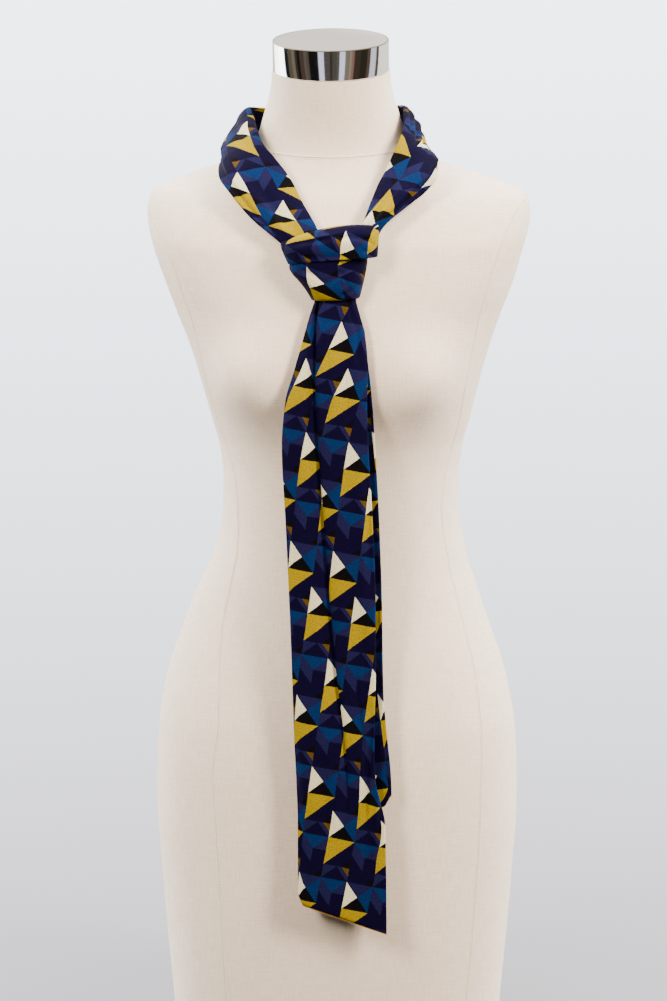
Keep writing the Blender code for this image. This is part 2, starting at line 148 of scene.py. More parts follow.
# Creases of the strip. Places are millimetres from its middle line, and a section of LOOP counts as 25.
LOOP_CHART = 25.0
LOOP_CREASES = {
    "from_along": (15, 10, 105, 185, 225, 215, 290, 335, 345, 330, 352, 430, 470, 500, 208, 128, 350, 452,
                   25),
    "from_across": (-4, 12, -12, -8, 7, 15, -15, -11, 1, -5, 12, -9, 5, -7, -24, 22, -20, 18, 18),
    "to_along": (120, 75, 210, 325, 372, 280, 362, 440, 435, 425, 455, 530, 545, 548, 216, 178, 415, 536,
                 88),
    "to_across": (5, 7, -7, -3, 4, 12, -13, -7, 4, -1, 11, -4, 9, -3, 24, 13, -15, 15.5, 19),
    "bow": (2, -1, 1.5, -2, 2, 1, -1, 1, -1, 1, 0, 2, -2, 1, 1, 2, 1, 0.5, 1),
    "width": (5, 4, 4.5, 3.8, 3.6, 3, 3, 2.6, 2.8, 2.6, 3, 4, 3.5, 3, 4.5, 3, 2.6, 1.7, 2.0),
    "height": (-1.3, 1.0, -1.7, -2.2, -1.8, -1.2, -1.5, -2.8, -2.6, 1.3, -1.8, -1.3, 1.1, -1.3, -6.0, -1.8,
               -2.2, -3.0, -2.0),
}

# The knot's two turns, from the top edge down. A row is a C-shaped section whose sides turn back to
# back_y, and rise lifts its middle. The upper turn runs into the lower one at the left.
KNOT_BAND = {
    "left_x": (-42, -46, -47, -46.5, -44.5, -40.5, -39.5),
    "left_z": (818, 821, 820, 816, 811, 802, 800),
    "right_x": (42, 46, 48, 48, 47.5, 46.5, 46),
    "right_z": (834, 838, 837, 832, 822, 809, 807.5),
    "rise": (6, 7, 6.5, 5, 2, 0.5, 0.5),
    "left_y": (-109.5, -113.5, -118.5, -122.8, -124.9, -124.2, -123.2),
    "right_y": (-109.5, -113.5, -119, -124.8, -129, -129, -126.6),
    "back_y": (-107,) * 7,
}
KNOT_FACE = {
    "left_x": (-37, -39, -35.5, -29.5, -23.5, -18.5, -17),
    "left_z": (806, 797, 790, 783.5, 776, 768, 765.5),
    "right_x": (36.5, 36.5, 35.5, 34, 32, 29.5, 28.5),
    "right_z": (812, 804, 796, 788, 779.5, 769.5, 767.5),
    "rise": (0, 0, 0, 0, 0, -1, -1),
    "left_y": (-123.9, -124.1, -124.5, -125, -124.5, -121.5, -119),
    "right_y": (-123.9, -124.1, -124.5, -125, -124.5, -121.5, -119),
    "back_y": (-102, -102, -102.5, -102.5, -103, -103.5, -104.5),
}
KNOT_POWER = 2.7
KNOT_GRID = (64, 150)
KNOT_PRINT_TURN = 24.0
# The upper turn's print slides this far towards its right end, and sooner downwards than sideways.
BAND_PRINT_SLIDE = 0.014
KNOT_SLIDE_SOONER = 1.4
NECK_PRINT_TURN = -6.0
NECK_PRINT_SLIDE = 0.006
# Creases of the knot and of the tails lie at x and z.
BAND_CREASES = {
    "from_x": (-42, -34, 2, 28, -20, 30),
    "from_z": (817, 808, 829, 829, 825, 818),
    "to_x": (6, 24, 46, 48, 22, 50),
    "to_z": (826, 812, 823, 815, 832, 809),
    "bow": (1.5, -2, 1, 2, 1, -1.5),
    "width": (2.4, 2.6, 2.2, 2.2, 2.0, 1.8),
    "height": (-1.3, -1.2, -1.2, -1.4, 0.7, -1.3),
}
FACE_CREASES = {
    "from_x": (-36, -30, 32, 34, 8, -8, 34),
    "from_z": (799, 789, 801, 791, 800, 799, 780),
    "to_x": (4, -4, -6, 10, 22, -16, 8),
    "to_z": (778, 770, 779, 771, 773, 774, 769),
    "bow": (2.5, 1, -2.5, -1, 1, -1, -0.5),
    "width": (3, 2.2, 3, 2.2, 2.4, 2.2, 1.8),
    "height": (-1.5, 1.0, -1.5, 0.9, -1.0, -0.8, -1.0),
}

# The tails, from inside the knot down. A row gives the outline, the long pleat and how far the edges
# turn back, and the last row is below the lowest corner.
TAIL_LONG = {
    "height": (796, 782, 768, 750, 735, 699, 669, 625, 553, 475, 400, 335, 300, 275, 253, 170, 140),
    "left": (-11, -12, -13.5, -19, -23, -33, -41.5, -45, -41.5, -38, -35.2, -33.2, -31.5, -30.5, -30,
             -29.8, -29.8),
    "pleat": (-6, -8.5, -10.5, -13.5, -14.5, -15, -14, -11.5, -6, 0, 7, 15.5, 18, 17, 14, 8, 8),
    "right": (22, 24, 25.5, 30.5, 35, 38.5, 38, 39.5, 43.6, 46.6, 46.8, 45.5, 46.5, 52, 56.4, 57.8, 58),
    "front_y": (-111.5, -114.5, -116.6, -120, -123, -128, -130, -131, -131, -131, -131, -131, -130.5, -130,
                -129.5, -128.5, -128),
    "depth": (2.5, 3, 4, 5.5, 6.5, 7.5, 8, 8, 8, 7.5, 6.5, 5, 3.5, 2.2, 1.2, 0, 0),
    "turn": (7.5, 9.5, 11, 9, 8, 6.5, 5.5, 4.5, 4.5, 4.5, 4.5, 5, 5, 4, 3, 2, 2),
}
TAIL_LONG_END = {"left": 0.1724, "right": 0.143, "chamfer": 0.0095, "corner": 0.0, "chamfer_share": 0.06}
TAIL_LONG_GRID = (290, 2.2)
TAIL_LONG_CREASES = {
    "from_x": (16, 23, -17, -27, 28, 44.7, 50, 47, -22, 20, -10, 33, 17, -4, 31, 27, -36, 38),
    "from_z": (768, 766, 740, 690, 640, 372, 312, 266, 420, 520, 330, 480, 774, 770, 300, 420, 350, 600),
    "to_x": (21, 32, -33, -36, 36, 36, 41, 37, -14, 31, 2, 41, 25, -1, 50, 40, -24, 40),
    "to_z": (640, 690, 560, 470, 420, 232, 222, 201, 235, 300, 200, 330, 738, 610, 356, 290, 180, 470),
    "bow": (-2, 1, 1, -1, 2, -1.5, 2, 1, -2, 3, 2, -1, 0, 1, 2, -2, 1, 1),
    "width": (4, 3, 5, 4.5, 6, 2.3, 3.0, 2.0, 8, 7, 8, 4, 1.8, 3.5, 2.6, 2.6, 4, 2.2),
    "height": (-1.6, -1.6, 1.2, -1.1, 1.1, -3.6, 3.0, -2.6, 1.3, -1.2, -1.2, -1.4, -2.0, -1.1, 1.4, -1.6,
               -1.1, -1.6),
}
TAIL_SHORT = {
    "height": (794, 780, 768, 750, 735, 699, 669, 625, 553, 475, 386, 346, 300, 281, 240),
    "left": (-4, -4.5, -5, -6, -8, -16, -23, -27, -27, -27, -27, -27, -26, -26, -26),
    "pleat": (8, 8, 8, 8.5, 9, 9, 9, 9.5, 11, 12, 13, 14.5, 17, 17.6, 18),
    "right": (19, 20.5, 21.5, 28, 33.5, 39, 41.5, 44.5, 48.5, 51.2, 52.7, 55.9, 60.5, 61.3, 61.5),
    "front_y": (-109, -111.8, -113.9, -115.2, -116, -117, -118.2, -119, -119.5, -119.5, -119.5, -119.5,
                -119, -119, -118.5),
    "depth": (0, 0, 0, 0, 0, 0.5, 1, 1.5, 2, 2, 2, 1.5, 1, 1, 1),
    "turn": (3, 3, 3, 2.5, 2, 0.5, -1, -1.5, -2, -2, -2, -2, -1.5, -1, -1),
}
TAIL_SHORT_END = {"left": 0.242, "right": 0.2724, "chamfer": 0.0086, "corner": 1.0, "chamfer_share": 0.08}
TAIL_SHORT_GRID = (220, 0.0)
TAIL_SHORT_CREASES = {
    "from_x": (30, 44, 40, 10, 48),
    "from_z": (740, 640, 480, 500, 400),
    "to_x": (40, 49, 50, 20, 56),
    "to_z": (600, 470, 350, 300, 300),
    "bow": (1, -1, 1, 2, -1),
    "width": (4, 3.5, 4, 6, 3.5),
    "height": (-0.8, 0.7, -0.8, 0.7, 0.7),
}
STRIP_WIDTH = 0.088
# The turn in degrees and the slide of each tail's print.
TAIL_LONG_PRINT = (10.0, (0.005, 0.0))
TAIL_SHORT_PRINT = (-8.0, (0.030, 0.011))
# Columns of the tails, how much closer together they stand at the edges and the pleat, and over what
# share of the width. The rows drift a little from even steps.
TAIL_ACROSS = 84
FINE_STEPS = 2001
EDGE_CLOSER = 10
EDGE_CLOSE_SPREAD = 0.022
PLEAT_CLOSE_PLACE = 0.46
PLEAT_CLOSE_SPREAD = 0.09
ROW_DRIFT = 0.006
PLEAT_ALONG_WIDTH = 0.43
PLEAT_SPREAD = 0.075
# How a pleat's trough slides under its lip, as shares of its depth, and the lip's place and widths.
PLEAT_UNDER = 0.62
PLEAT_OVER = 0.50
LIP_PLACE = 6.0
TROUGH_WIDTH = 3.4
LIP_WIDTH = 3.6
EDGE_POWER = 3.0
EDGE_REACH = 0.999
CREASE_FADE = 0.32

# A folded edge is a little fuller than the flat strip.
EDGE_FULLNESS = 0.35
EDGE_FULL_PLACE = 0.0021
EDGE_FULL_SPREAD = 0.0012
MERGE = 1e-6

# The print: how far its lines stray, and where the corners of its blocks are cut off.
# Pairs such as MOTTLE are a factor and an offset for a noise between 0 and 1.
WOBBLE = 0.0006
WOBBLE_SCALE = 420.0
LOW_CORNER = -0.68
HIGH_CORNER = 0.70
MOTTLE = (1.7, 0.15)
MOTTLE_SCALE = 720.0
CLOTH_ROUGHNESS = (0.16, 0.54)
COCKLE_SCALE = 160.0
COCKLE_DEPTH = 0.0012
TWILL_SLANT = 0.6
FINE_RELIEF = 0.00012
# The cover: its weave, its thick yarns along and across, its clouds and its few flecks.
COVER_WEAVE = 0.0009
SLUB_SCALE = (45.0, 900.0, 1.0)
UPRIGHT_SCALE = (900.0, 60.0, 1.0)
SLUB_RELIEF = 0.0003
YARN = (2.6, -2.1)
CLOUD_SCALE = 9.0
CLOUD_STRENGTH = 0.22
FLECK_CELLS = 26.0
FLECK_RADIUS = 0.016
FLECK_RARE = 0.86
FLECK_STRENGTH = 0.55
# The metals' streaks, and the thread's twist.
POLISH_STREAK = (900.0, 900.0, 12.0)
BRUSH_STREAK = (60.0, 1800.0, 60.0)
BRUSH_RELIEF = 0.00008
POLISH_ROUGHNESS = (0.05, 0.045)
BRUSH_ROUGHNESS = (0.14, 0.36)
TWIST_SCALE = 2600.0
TWIST_SHADE = 0.72

# Stitches: the golden ones along the cut ends, which lie a share of the wall inward and a little lower,
# and how the cover's own stand out more at the neck, where their longer, thicker dark thread is also
# painted shade for the shadow line of the neck seam.
END_STITCH = {"pitch": 0.0013, "length": 0.0019, "thread": 0.0007, "slack": 0.2}
STITCH_SEED = 7
END_STITCH_DEPTH = 0.35
END_STITCH_DROP = 0.0002
SEAM_STITCH_LIFT = 0.00006
SEAM_SLACK = 0.15
NECK_SLACK = 0.05
NECK_STITCH_LONGER = 1.3
NECK_THREAD_THICKER_FOR_SHADE = 2.3

# Camera and studio
PHOTO_SIZE = (667, 1001)
FOCAL_PIXELS = 4000.0
SENSOR = 36.0
CAMERA_TARGET = (-0.0035, 0.0, 0.555)
CAMERA_DISTANCE = 4.0
CAMERA_AZIMUTH = 4.0
CAMERA_ELEVATION = 8.0
FLOOR_RADIUS = 160.0
# The floor's glow is half way between the near and the far one at this distance.
HALF_GLOW = 4.8
LIGHT_AIM = (0.0, 0.0, 0.62)
SOFTBOX_DISTANCE = 2.9
SOFTBOX_HEIGHT = 2.45
SOFTBOX_SIZE = (0.75, 1.4)
# Each softbox's name, its degrees from the middle of the form's front, and its share of the power.
SOFTBOXES = (("softbox_left", -36, 0.80), ("softbox_right", 50, 1.22))
# Upright bands that polished metal sees round the studio: where each starts, in degrees from the camera,
# and its colour.
METAL_BANDS = (
    (-180, (1.50, 1.42, 1.30)), (-150, (7.0, 6.9, 6.8)), (-128, (9.0, 9.0, 9.0)),
    (-107, (0.016, 0.018, 0.022)), (-96, (0.13, 0.11, 0.075)), (-86, (0.21, 0.185, 0.135)),
    (-78, (0.05, 0.042, 0.03)), (-72, (0.012, 0.010, 0.009)), (-67, (0.085, 0.06, 0.045)),
    (-57, (0.15, 0.115, 0.095)), (-51, (0.10, 0.09, 0.07)), (-46, (0.012, 0.010, 0.010)),
    (-27, (0.06, 0.055, 0.06)), (-25.5, (1.15, 1.17, 1.50)), (-14.5, (0.11, 0.095, 0.085)),
    (-2, (0.045, 0.038, 0.034)), (2, (0.10, 0.088, 0.075)), (12, (0.13, 0.115, 0.10)),
    (17.8, (1.15, 1.17, 1.50)), (28.5, (0.25, 0.22, 0.17)), (38, (0.36, 0.31, 0.23)),
    (43, (0.32, 0.17, 0.14)), (48, (0.055, 0.045, 0.03)), (62, (0.035, 0.03, 0.02)),
    (78, (0.12, 0.075, 0.06)), (87, (0.95, 0.96, 1.15)), (102, (0.12, 0.10, 0.07)),
    (111, (1.70, 1.62, 1.50)),
)
# Strength of the light from all round: level with the form, what height adds, and below the floor.
LEVEL_LIGHT = 0.45
HIGH_LIGHT = 1.25
UNDER_FLOOR = 0.08
ROOM_TINT = (1.0, 1.0, 1.01)
# Its strength by the degrees from the camera: dim in front, brightest at the sides.
ROOM_LIGHT = ((0, 0.05), (74, 0.08), (90, 8.0), (104, 17.0), (122, 8.0), (142, 2.6), (180, 1.2))


def length_setting(name, description, default):
    return bpy.props.FloatProperty(name=name, description=description, default=default, unit="LENGTH")


def colour_setting(name, description, default, soft_max=1.0):
    return bpy.props.FloatVectorProperty(
        name=name, description=description, default=default, subtype="COLOR", size=3, soft_max=soft_max)


class ScarfCloth(bpy.types.PropertyGroup):
    wall: length_setting("Wall", "Thickness of the folded strip", 0.0016)
    print_block: length_setting("Print block", "Side of one block of the patchwork print", 0.027)
    weave: length_setting("Weave", "Pitch of the fine twill", 0.0007)
    navy: colour_setting("Navy", "Ground of the print", (0.0030, 0.0018, 0.0135))
    black: colour_setting("Near black", "Darkest blocks", (0.0027, 0.0024, 0.0032))
    indigo: colour_setting("Slate indigo", "Mid blocks", (0.0078, 0.0076, 0.0350))
    blue: colour_setting("Blue", "Blue blocks", (0.0026, 0.0150, 0.0620))
    yellow: colour_setting("Yellow", "Yellow blocks", (0.226, 0.164, 0.0008))
    cream: colour_setting("Cream", "Cream blocks", (0.520, 0.500, 0.330))
    ochre: colour_setting("Ochre", "Small ochre corners", (0.0600, 0.0350, 0.0050))
    edge_gold: colour_setting("Edge thread", "Golden thread along the cut ends", (0.340, 0.175, 0.020))


class FormCover(bpy.types.PropertyGroup):
    linen: colour_setting("Linen", "Colour of the drawn-on cover", (0.800, 0.700, 0.580))
    slub: colour_setting("Slub", "Colour of the thicker yarns", (0.690, 0.580, 0.455))
    fleck: colour_setting("Fleck", "Colour of the few dark flecks", (0.350, 0.270, 0.200))
    # Partly the thread's own colour and partly painted shade: its dark tone also stands in for the shadow
    # in the seams' ditches.
    seam_thread_and_shade: colour_setting("Seam line", "Colour of the thread in a seam", (0.330, 0.250, 0.190))
    stitch_pitch: length_setting("Stitch pitch", "Distance between stitches", 0.0030)
    stitch_length: length_setting("Stitch length", "Length of one stitch", 0.0024)
    thread: length_setting("Thread", "Thickness of the thread", 0.00045)


class NeckCap(bpy.types.PropertyGroup):
    steel: colour_setting("Steel", "Colour of the polished side", (0.80, 0.785, 0.76))
    satin: colour_setting("Satin top", "Colour of the brushed top", (0.53, 0.50, 0.455))
    rim: colour_setting("Rim", "Colour of the turned edge round the top", (0.300, 0.245, 0.175))


class StudioSettings(bpy.types.PropertyGroup):
    # The floor's own colour is dark; its paleness is the painted glow of glow_near and glow_far.
    floor: colour_setting("Floor", "Colour of the pale floor", (0.12, 0.12, 0.125))
    glow_near: colour_setting("Near glow", "Light of the floor by the form", (0.15, 0.14, 0.17), 6.0)
    glow_far: colour_setting("Far glow", "Light of the floor in the distance", (3.8, 4.0, 4.55), 6.0)
    room_light: bpy.props.FloatProperty(
        name="Room light", description="Strength of the light from all round", default=1.0)
    key_power: bpy.props.FloatProperty(
        name="Softbox power", description="Power of each of the two front softboxes", default=275.0,
        unit="POWER")
    key_colour: colour_setting("Softbox colour", "Warm white of the softboxes", (1.0, 0.85, 0.715))


# Smooth reading of the tables

def smooth(knots, values, at):
    """Piecewise cubic through the values, with slopes that never overshoot them."""
    knots = np.asarray(knots, float)
    values = np.asarray(values, float)
    at = np.clip(np.asarray(at, float), knots[0], knots[-1])
    gap = np.diff(knots)
    secant = np.diff(values) / gap
    slope = np.empty_like(values)
    slope[0] = secant[0]
    slope[-1] = secant[-1]
    before = secant[:-1]
    after = secant[1:]
    product = before * after
    total = np.where(product > 0, before + after, 1.0)
    slope[1:-1] = np.where(product > 0, 2.0 * product / total, 0.0)
    index = np.clip(np.searchsorted(knots, at, side="right") - 1, 0, len(gap) - 1)
    width = gap[index]
    t = (at - knots[index]) / width
    rise = t * t * (3.0 - 2.0 * t)
    return (
        values[index] * (1.0 - rise)
        + values[index + 1] * rise
        + width * slope[index] * t * (1.0 - t) ** 2
        - width * slope[index + 1] * t * t * (1.0 - t)
    )


def column(table, key, name, at):
    """One column of a table at the heights or distances given, in metres."""
    return smooth(np.asarray(table[key]) * MM, table[name], at) * MM


def step(value):
    value = np.clip(value, 0.0, 1.0)
    return value * value * (3.0 - 2.0 * value)


# The dress form's surface, which the cloth is laid on

def form_radius(angle, level):
    """Distance from the section's centre. The angle is 0 at the front and grows towards +X."""
    width = column(FORM, "height", "half_width", level)
    front = column(FORM, "height", "front", level)
    back = column(FORM, "height", "back", level)
    power = smooth(np.asarray(FORM["height"]) * MM, FORM["power"], level)
    depth = np.where(np.cos(angle) > 0, front, back)
    across = np.abs(np.sin(angle)) / width
    along = np.abs(np.cos(angle)) / depth
    radius = (across ** power + along ** power) ** (-1.0 / power)
    off_apex = (np.abs(angle) - BUST["angle"]) / BUST["angle_spread"]
    off_level = (level - BUST["height"]) / BUST["height_spread"]
    return radius + BUST["depth"] * np.exp(-off_apex ** 2 - off_level ** 2)


def neck_tilt(level):
    return NECK_TILT * step((level - NECK_TILT_FROM) / (NECK_TILT_TO - NECK_TILT_FROM))


def form_point(angle, level, inset=0.0):
    """Points of the form's surface, or inset from it, with the neck tilted forward."""
    radius = form_radius(angle, level) - inset
    x = radius * np.sin(angle) + column(FORM, "height", "centre_x", level)
    ahead = -radius * np.cos(angle)
    y = ahead + column(FORM, "height", "centre_y", level)
    return np.stack([x, y, level + ahead * neck_tilt(level)], axis=-1)


def outside_form(points):
    """How far points lie outside the form's sections, measured level."""
    level = points[..., 2].copy()
    for _ in range(LEVEL_ROUNDS):
        ahead = points[..., 1] - column(FORM, "height", "centre_y", level)
        level = points[..., 2] - ahead * neck_tilt(level)
    ahead = points[..., 1] - column(FORM, "height", "centre_y", level)
    aside = points[..., 0] - column(FORM, "height", "centre_x", level)
    return np.hypot(aside, ahead) - form_radius(np.arctan2(aside, -ahead), level)


def off_form(points):
    """The true distance from the form, nearly, and the direction straight away from it."""
    reach = outside_form(points)
    slope = np.empty_like(points)
    for axis in range(3):
        shift = np.zeros(3)
        shift[axis] = SLOPE_STEP
        rise = outside_form(points + shift) - outside_form(points - shift)
        slope[..., axis] = rise / (2 * SLOPE_STEP)
    size = np.linalg.norm(slope, axis=-1)
    return reach / size, slope / size[..., None]


def lay_on_form(points, clearance):
    """Moves out, softly, each point that is nearer to the form than the clearance."""
    for _ in range(LAY_ROUNDS):
        distance, away = off_form(points)
        over = np.clip((distance - clearance) / LAY_SOFTNESS, -LAY_LIMIT, LAY_LIMIT)
        target = clearance + LAY_SOFTNESS * np.log1p(np.exp(over))
        move = np.where(over < LAY_REACH, target - distance, 0.0)
        points = points + away * np.clip(move, 0.0, None)[..., None]
    return points


# Pieces: creases, shells and charts

def crease_relief(table, starts, ends, first, second):
    """Height in metres of soft creases on a chart in millimetres. A negative height is a trough."""
    total = np.zeros(first.shape)
    rows = zip(table[starts[0]], table[starts[1]], table[ends[0]], table[ends[1]],
               table["bow"], table["width"], table["height"])
    for x0, y0, x1, y1, bow, width, height in rows:
        run = np.hypot(x1 - x0, y1 - y0)
        dx = (x1 - x0) / run
        dy = (y1 - y0) / run
        t = ((first - x0) * dx + (second - y0) * dy) / run
        side = (second - y0) * dx - (first - x0) * dy - bow * 4 * t * (1 - t)
        window = step(t / CREASE_FADE) * step((1 - t) / CREASE_FADE)
        total += height * window * np.exp(-(side / width) ** 2)
    return total * MM


def facing(points):
    """The outward direction of a sheet, from its rows and columns."""
    normal = np.cross(np.gradient(points, axis=0), np.gradient(points, axis=1))
    return normal / np.linalg.norm(normal, axis=2)[..., None]


def run_length(points, axis):
    """Distance along each row or column of a sheet from its start."""
    steps = np.linalg.norm(np.diff(points, axis=axis), axis=2)
    start = np.zeros_like(np.take(steps, [0], axis=axis))
    return np.concatenate([start, np.cumsum(steps, axis=axis)], axis=axis)


def edge_round(depth):
    return np.sqrt(1 - (1 - np.clip(depth, 0, 1)) ** 2)


def grid_faces(rows, columns, start=0, flip=False):
    first = np.arange(rows - 1)[:, None] * columns + np.arange(columns - 1)[None, :] + start
    corners = [first, first + 1, first + columns + 1, first + columns]
    faces = np.stack(corners[::-1] if flip else corners, axis=-1)
    return faces.reshape(-1, 4)


def mesh_from(name, points, faces, chart, materials):
    """A mesh with its chart in metres as the UV map "cloth", its double points merged."""
    mesh = bpy.data.meshes.new(name)
    mesh.from_pydata(points.tolist(), [], [list(face) for face in faces])
    layer = mesh.uv_layers.new(name="cloth")
    corners = np.empty(len(mesh.loops), np.int32)
    mesh.loops.foreach_get("vertex_index", corners)
    layer.data.foreach_set("uv", chart[corners].astype(np.float32).ravel())
    tidy = bmesh.new()
    tidy.from_mesh(mesh)
    bmesh.ops.remove_doubles(tidy, verts=tidy.verts, dist=MERGE)
    bmesh.ops.recalc_face_normals(tidy, faces=tidy.faces)
    tidy.to_mesh(mesh)
    tidy.free()
    for material in materials:
        mesh.materials.append(material)
    mesh.shade_smooth()
    piece = bpy.data.objects.new(name, mesh)
    bpy.context.scene.collection.objects.link(piece)
    return piece


def cloth_shell(name, points, chart, material, wall):
    """A folded strip: two layers joined along rounded edges that are a little fuller than the rest."""
    rows, columns, _ = points.shape
    outward = facing(points)
    across = run_length(points, 1)
    along = run_length(points, 0)
    side = np.minimum(across, across[:, -1:] - across)
    end = np.minimum(along, along[-1:] - along)
    half = wall / 2
    roundness = edge_round(side / half) * edge_round(end / half)
    fullness = 1 + EDGE_FULLNESS * np.exp(-((side - EDGE_FULL_PLACE) / EDGE_FULL_SPREAD) ** 2)
    middle = points - outward * half
    front = middle + outward * (half * roundness * fullness)[..., None]
    back = middle - outward * (half * roundness)[..., None]
    around = chart.copy()
    around[..., 0] = 2 * chart[:, -1:, 0] - chart[..., 0]
    both = np.concatenate([front.reshape(-1, 3), back.reshape(-1, 3)])
    charts = np.concatenate([chart.reshape(-1, 2), around.reshape(-1, 2)])
    faces = np.concatenate([
        grid_faces(rows, columns, flip=True), grid_faces(rows, columns, start=rows * columns)])
    return mesh_from(name, both, faces, charts, [material])


def turned_chart(first, second, degrees, shift=(0.0, 0.0)):
    """A chart turned by the given degrees and then slid, in metres."""
    turn = np.radians(degrees)
    u = first * np.cos(turn) - second * np.sin(turn) + shift[0]
    v = first * np.sin(turn) + second * np.cos(turn) + shift[1]
    return np.stack([u, v], axis=-1)


def hand_over(piece, slot, *nodes):
    """Sets the piece on the root body and hides the solids that it takes the place of, if any. The slot is
    not used.
    """
    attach(piece, "root")
    if nodes:
        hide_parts(*nodes)


def finish_cloth(piece, nodes):
    hand_over(piece, "scarf_cloth", *nodes)


# Strip round the neck

def loop_stations():
    inner = np.stack([LOOP["inner_x"], LOOP["inner_y"], LOOP["inner_z"]], axis=-1) * MM
    outer = np.stack([LOOP["outer_x"], LOOP["outer_y"], LOOP["outer_z"]], axis=-1) * MM
    steps = np.linalg.norm(np.diff((inner + outer) / 2, axis=0), axis=1)
    return inner, outer, np.concatenate([[0.0], np.cumsum(steps)])


def neck_strip_points(wall):
    """The outside of the strip round the neck, and the distance along it of each section."""
    sections, columns = LOOP_GRID
    inner, outer, stations = loop_stations()
    places = np.linspace(0.0, stations[-1], sections)
    across = EDGE_REACH * np.sin(np.linspace(-np.pi / 2, np.pi / 2, columns))
    inside = np.stack([smooth(stations, inner[:, axis], places) for axis in range(3)], axis=-1)
    outside = np.stack([smooth(stations, outer[:, axis], places) for axis in range(3)], axis=-1)
    crown = smooth(stations, LOOP["crown"], places) * MM
    ledge = smooth(stations, LOOP["ledge"], places) * MM
    middle = (inside + outside) / 2
    chord = outside - inside
    away = np.cross(np.gradient(middle, places, axis=0), chord)
    away /= np.linalg.norm(away, axis=1)[:, None]
    flat = inside[:, None] + chord[:, None] * (across[None, :, None] + 1) / 2
    arch = (1 - np.abs(across) ** LOOP_ROUNDNESS) ** (1 / LOOP_ROUNDNESS)
    height = crown[:, None] * arch[None, :]
    height -= ledge[:, None] * step((across - LEDGE_START) / LEDGE_RUN)[None, :]
    section = np.interp(places, stations, np.arange(len(stations))) * LOOP_CHART
    along = np.broadcast_to(section[:, None], height.shape)
    aside = np.broadcast_to(across[None, :] * LOOP_CHART, height.shape)
    starts = ("from_along", "from_across")
    ends = ("to_along", "to_across")
    height = height + crease_relief(LOOP_CREASES, starts, ends, along, aside)
    points = flat + away[:, None] * height[..., None]
    return lay_on_form(points, wall + CLOTH_CLEARANCE), places


# Knot

def knot_points(table, creases):
    """The front of one turn of the knot, from its top edge down and round from left to right."""
    levels, around = KNOT_GRID
    rows = np.arange(len(table["left_x"]), dtype=float)
    level = np.linspace(0.0, rows[-1], levels)
    read = {key: smooth(rows, values, level) * MM for key, values in table.items()}
    turn = np.linspace(-np.pi / 2, np.pi / 2, around)
    side = np.sign(np.sin(turn)) * np.abs(np.sin(turn)) ** (2 / KNOT_POWER)
    reach = np.abs(np.cos(turn)) ** (2 / KNOT_POWER)
    share = (side + 1) / 2
    x = read["left_x"][:, None] * (1 - share) + read["right_x"][:, None] * share
    front = read["left_y"][:, None] * (1 - share) + read["right_y"][:, None] * share
    y = read["back_y"][:, None] * (1 - reach) + front * reach
    z = read["left_z"][:, None] * (1 - share) + read["right_z"][:, None] * share
    z += read["rise"][:, None] * (1 - side ** 2)
    relief = crease_relief(creases, ("from_x", "from_z"), ("to_x", "to_z"), x / MM, z / MM)
    y = y - relief * reach[None, :]
    return np.stack([x, y, z], axis=-1)


# Tails

def tail_places(pleat_closer):
    """Shares of the cloth's width, closer together at the edges and, where there is one, at the pleat."""
    even = np.linspace(0, 1, FINE_STEPS)
    dense = 1.0
    for edge in (0, 1):
        dense = dense + EDGE_CLOSER * np.exp(-((even - edge) / EDGE_CLOSE_SPREAD) ** 2)
    dense = dense + pleat_closer * np.exp(-((even - PLEAT_CLOSE_PLACE) / PLEAT_CLOSE_SPREAD) ** 2)
    total = np.concatenate([[0], np.cumsum((dense[1:] + dense[:-1]) / 2)])
    return np.interp(np.linspace(0, total[-1], TAIL_ACROSS), total, even)


def tail_points(table, end, grid, creases, wall):
    """The front of a hanging tail, with its pleat, its turned edges and its creases."""
    rows, pleat_closer = grid
    places = tail_places(pleat_closer)
    top = table["height"][0] * MM
    low = end["left"] + (end["right"] - end["left"]) * places
    off_corner = np.abs(places - end["corner"]) / end["chamfer_share"]
    low = low + end["chamfer"] * np.clip(1 - off_corner, 0, 1)
    share = np.linspace(0.0, 1.0, rows)
    share = share + ROW_DRIFT * np.sin(2 * np.pi * share) / (2 * np.pi)
    z = top + (low[None, :] - top) * share[:, None]
    knots = -np.asarray(table["height"]) * MM
    read = {}
    for key in ("left", "pleat", "right", "front_y", "depth", "turn"):
        read[key] = smooth(knots, table[key], -z) * MM
    fold = PLEAT_ALONG_WIDTH
    left_share = np.clip(places / fold, 0, 1)[None, :]
    right_share = np.clip((places - fold) / (1 - fold), 0, 1)[None, :]
    x = read["left"] + (read["pleat"] - read["left"]) * left_share
    x += (read["right"] - read["pleat"]) * right_share
    across = EDGE_REACH * (2 * (x - read["left"]) / (read["right"] - read["left"]) - 1)
    curl = 1 - (1 - np.abs(across) ** EDGE_POWER) ** (1 / EDGE_POWER)
    dip = np.exp(-((places - fold) / PLEAT_SPREAD) ** 2)[None, :]
    off_fold = (places - fold)[None, :] * STRIP_WIDTH / MM
    under = np.exp(-(off_fold / TROUGH_WIDTH) ** 2)
    over = np.exp(-((off_fold - LIP_PLACE) / LIP_WIDTH) ** 2)
    x = x + read["depth"] * (PLEAT_UNDER * under - PLEAT_OVER * over)
    relief = crease_relief(creases, ("from_x", "from_z"), ("to_x", "to_z"), x / MM, z / MM)
    y = read["front_y"] + read["turn"] * curl + read["depth"] * dip - relief
    return lay_on_form(np.stack([x, y, z], axis=-1), wall + CLOTH_CLEARANCE)


# Finishes

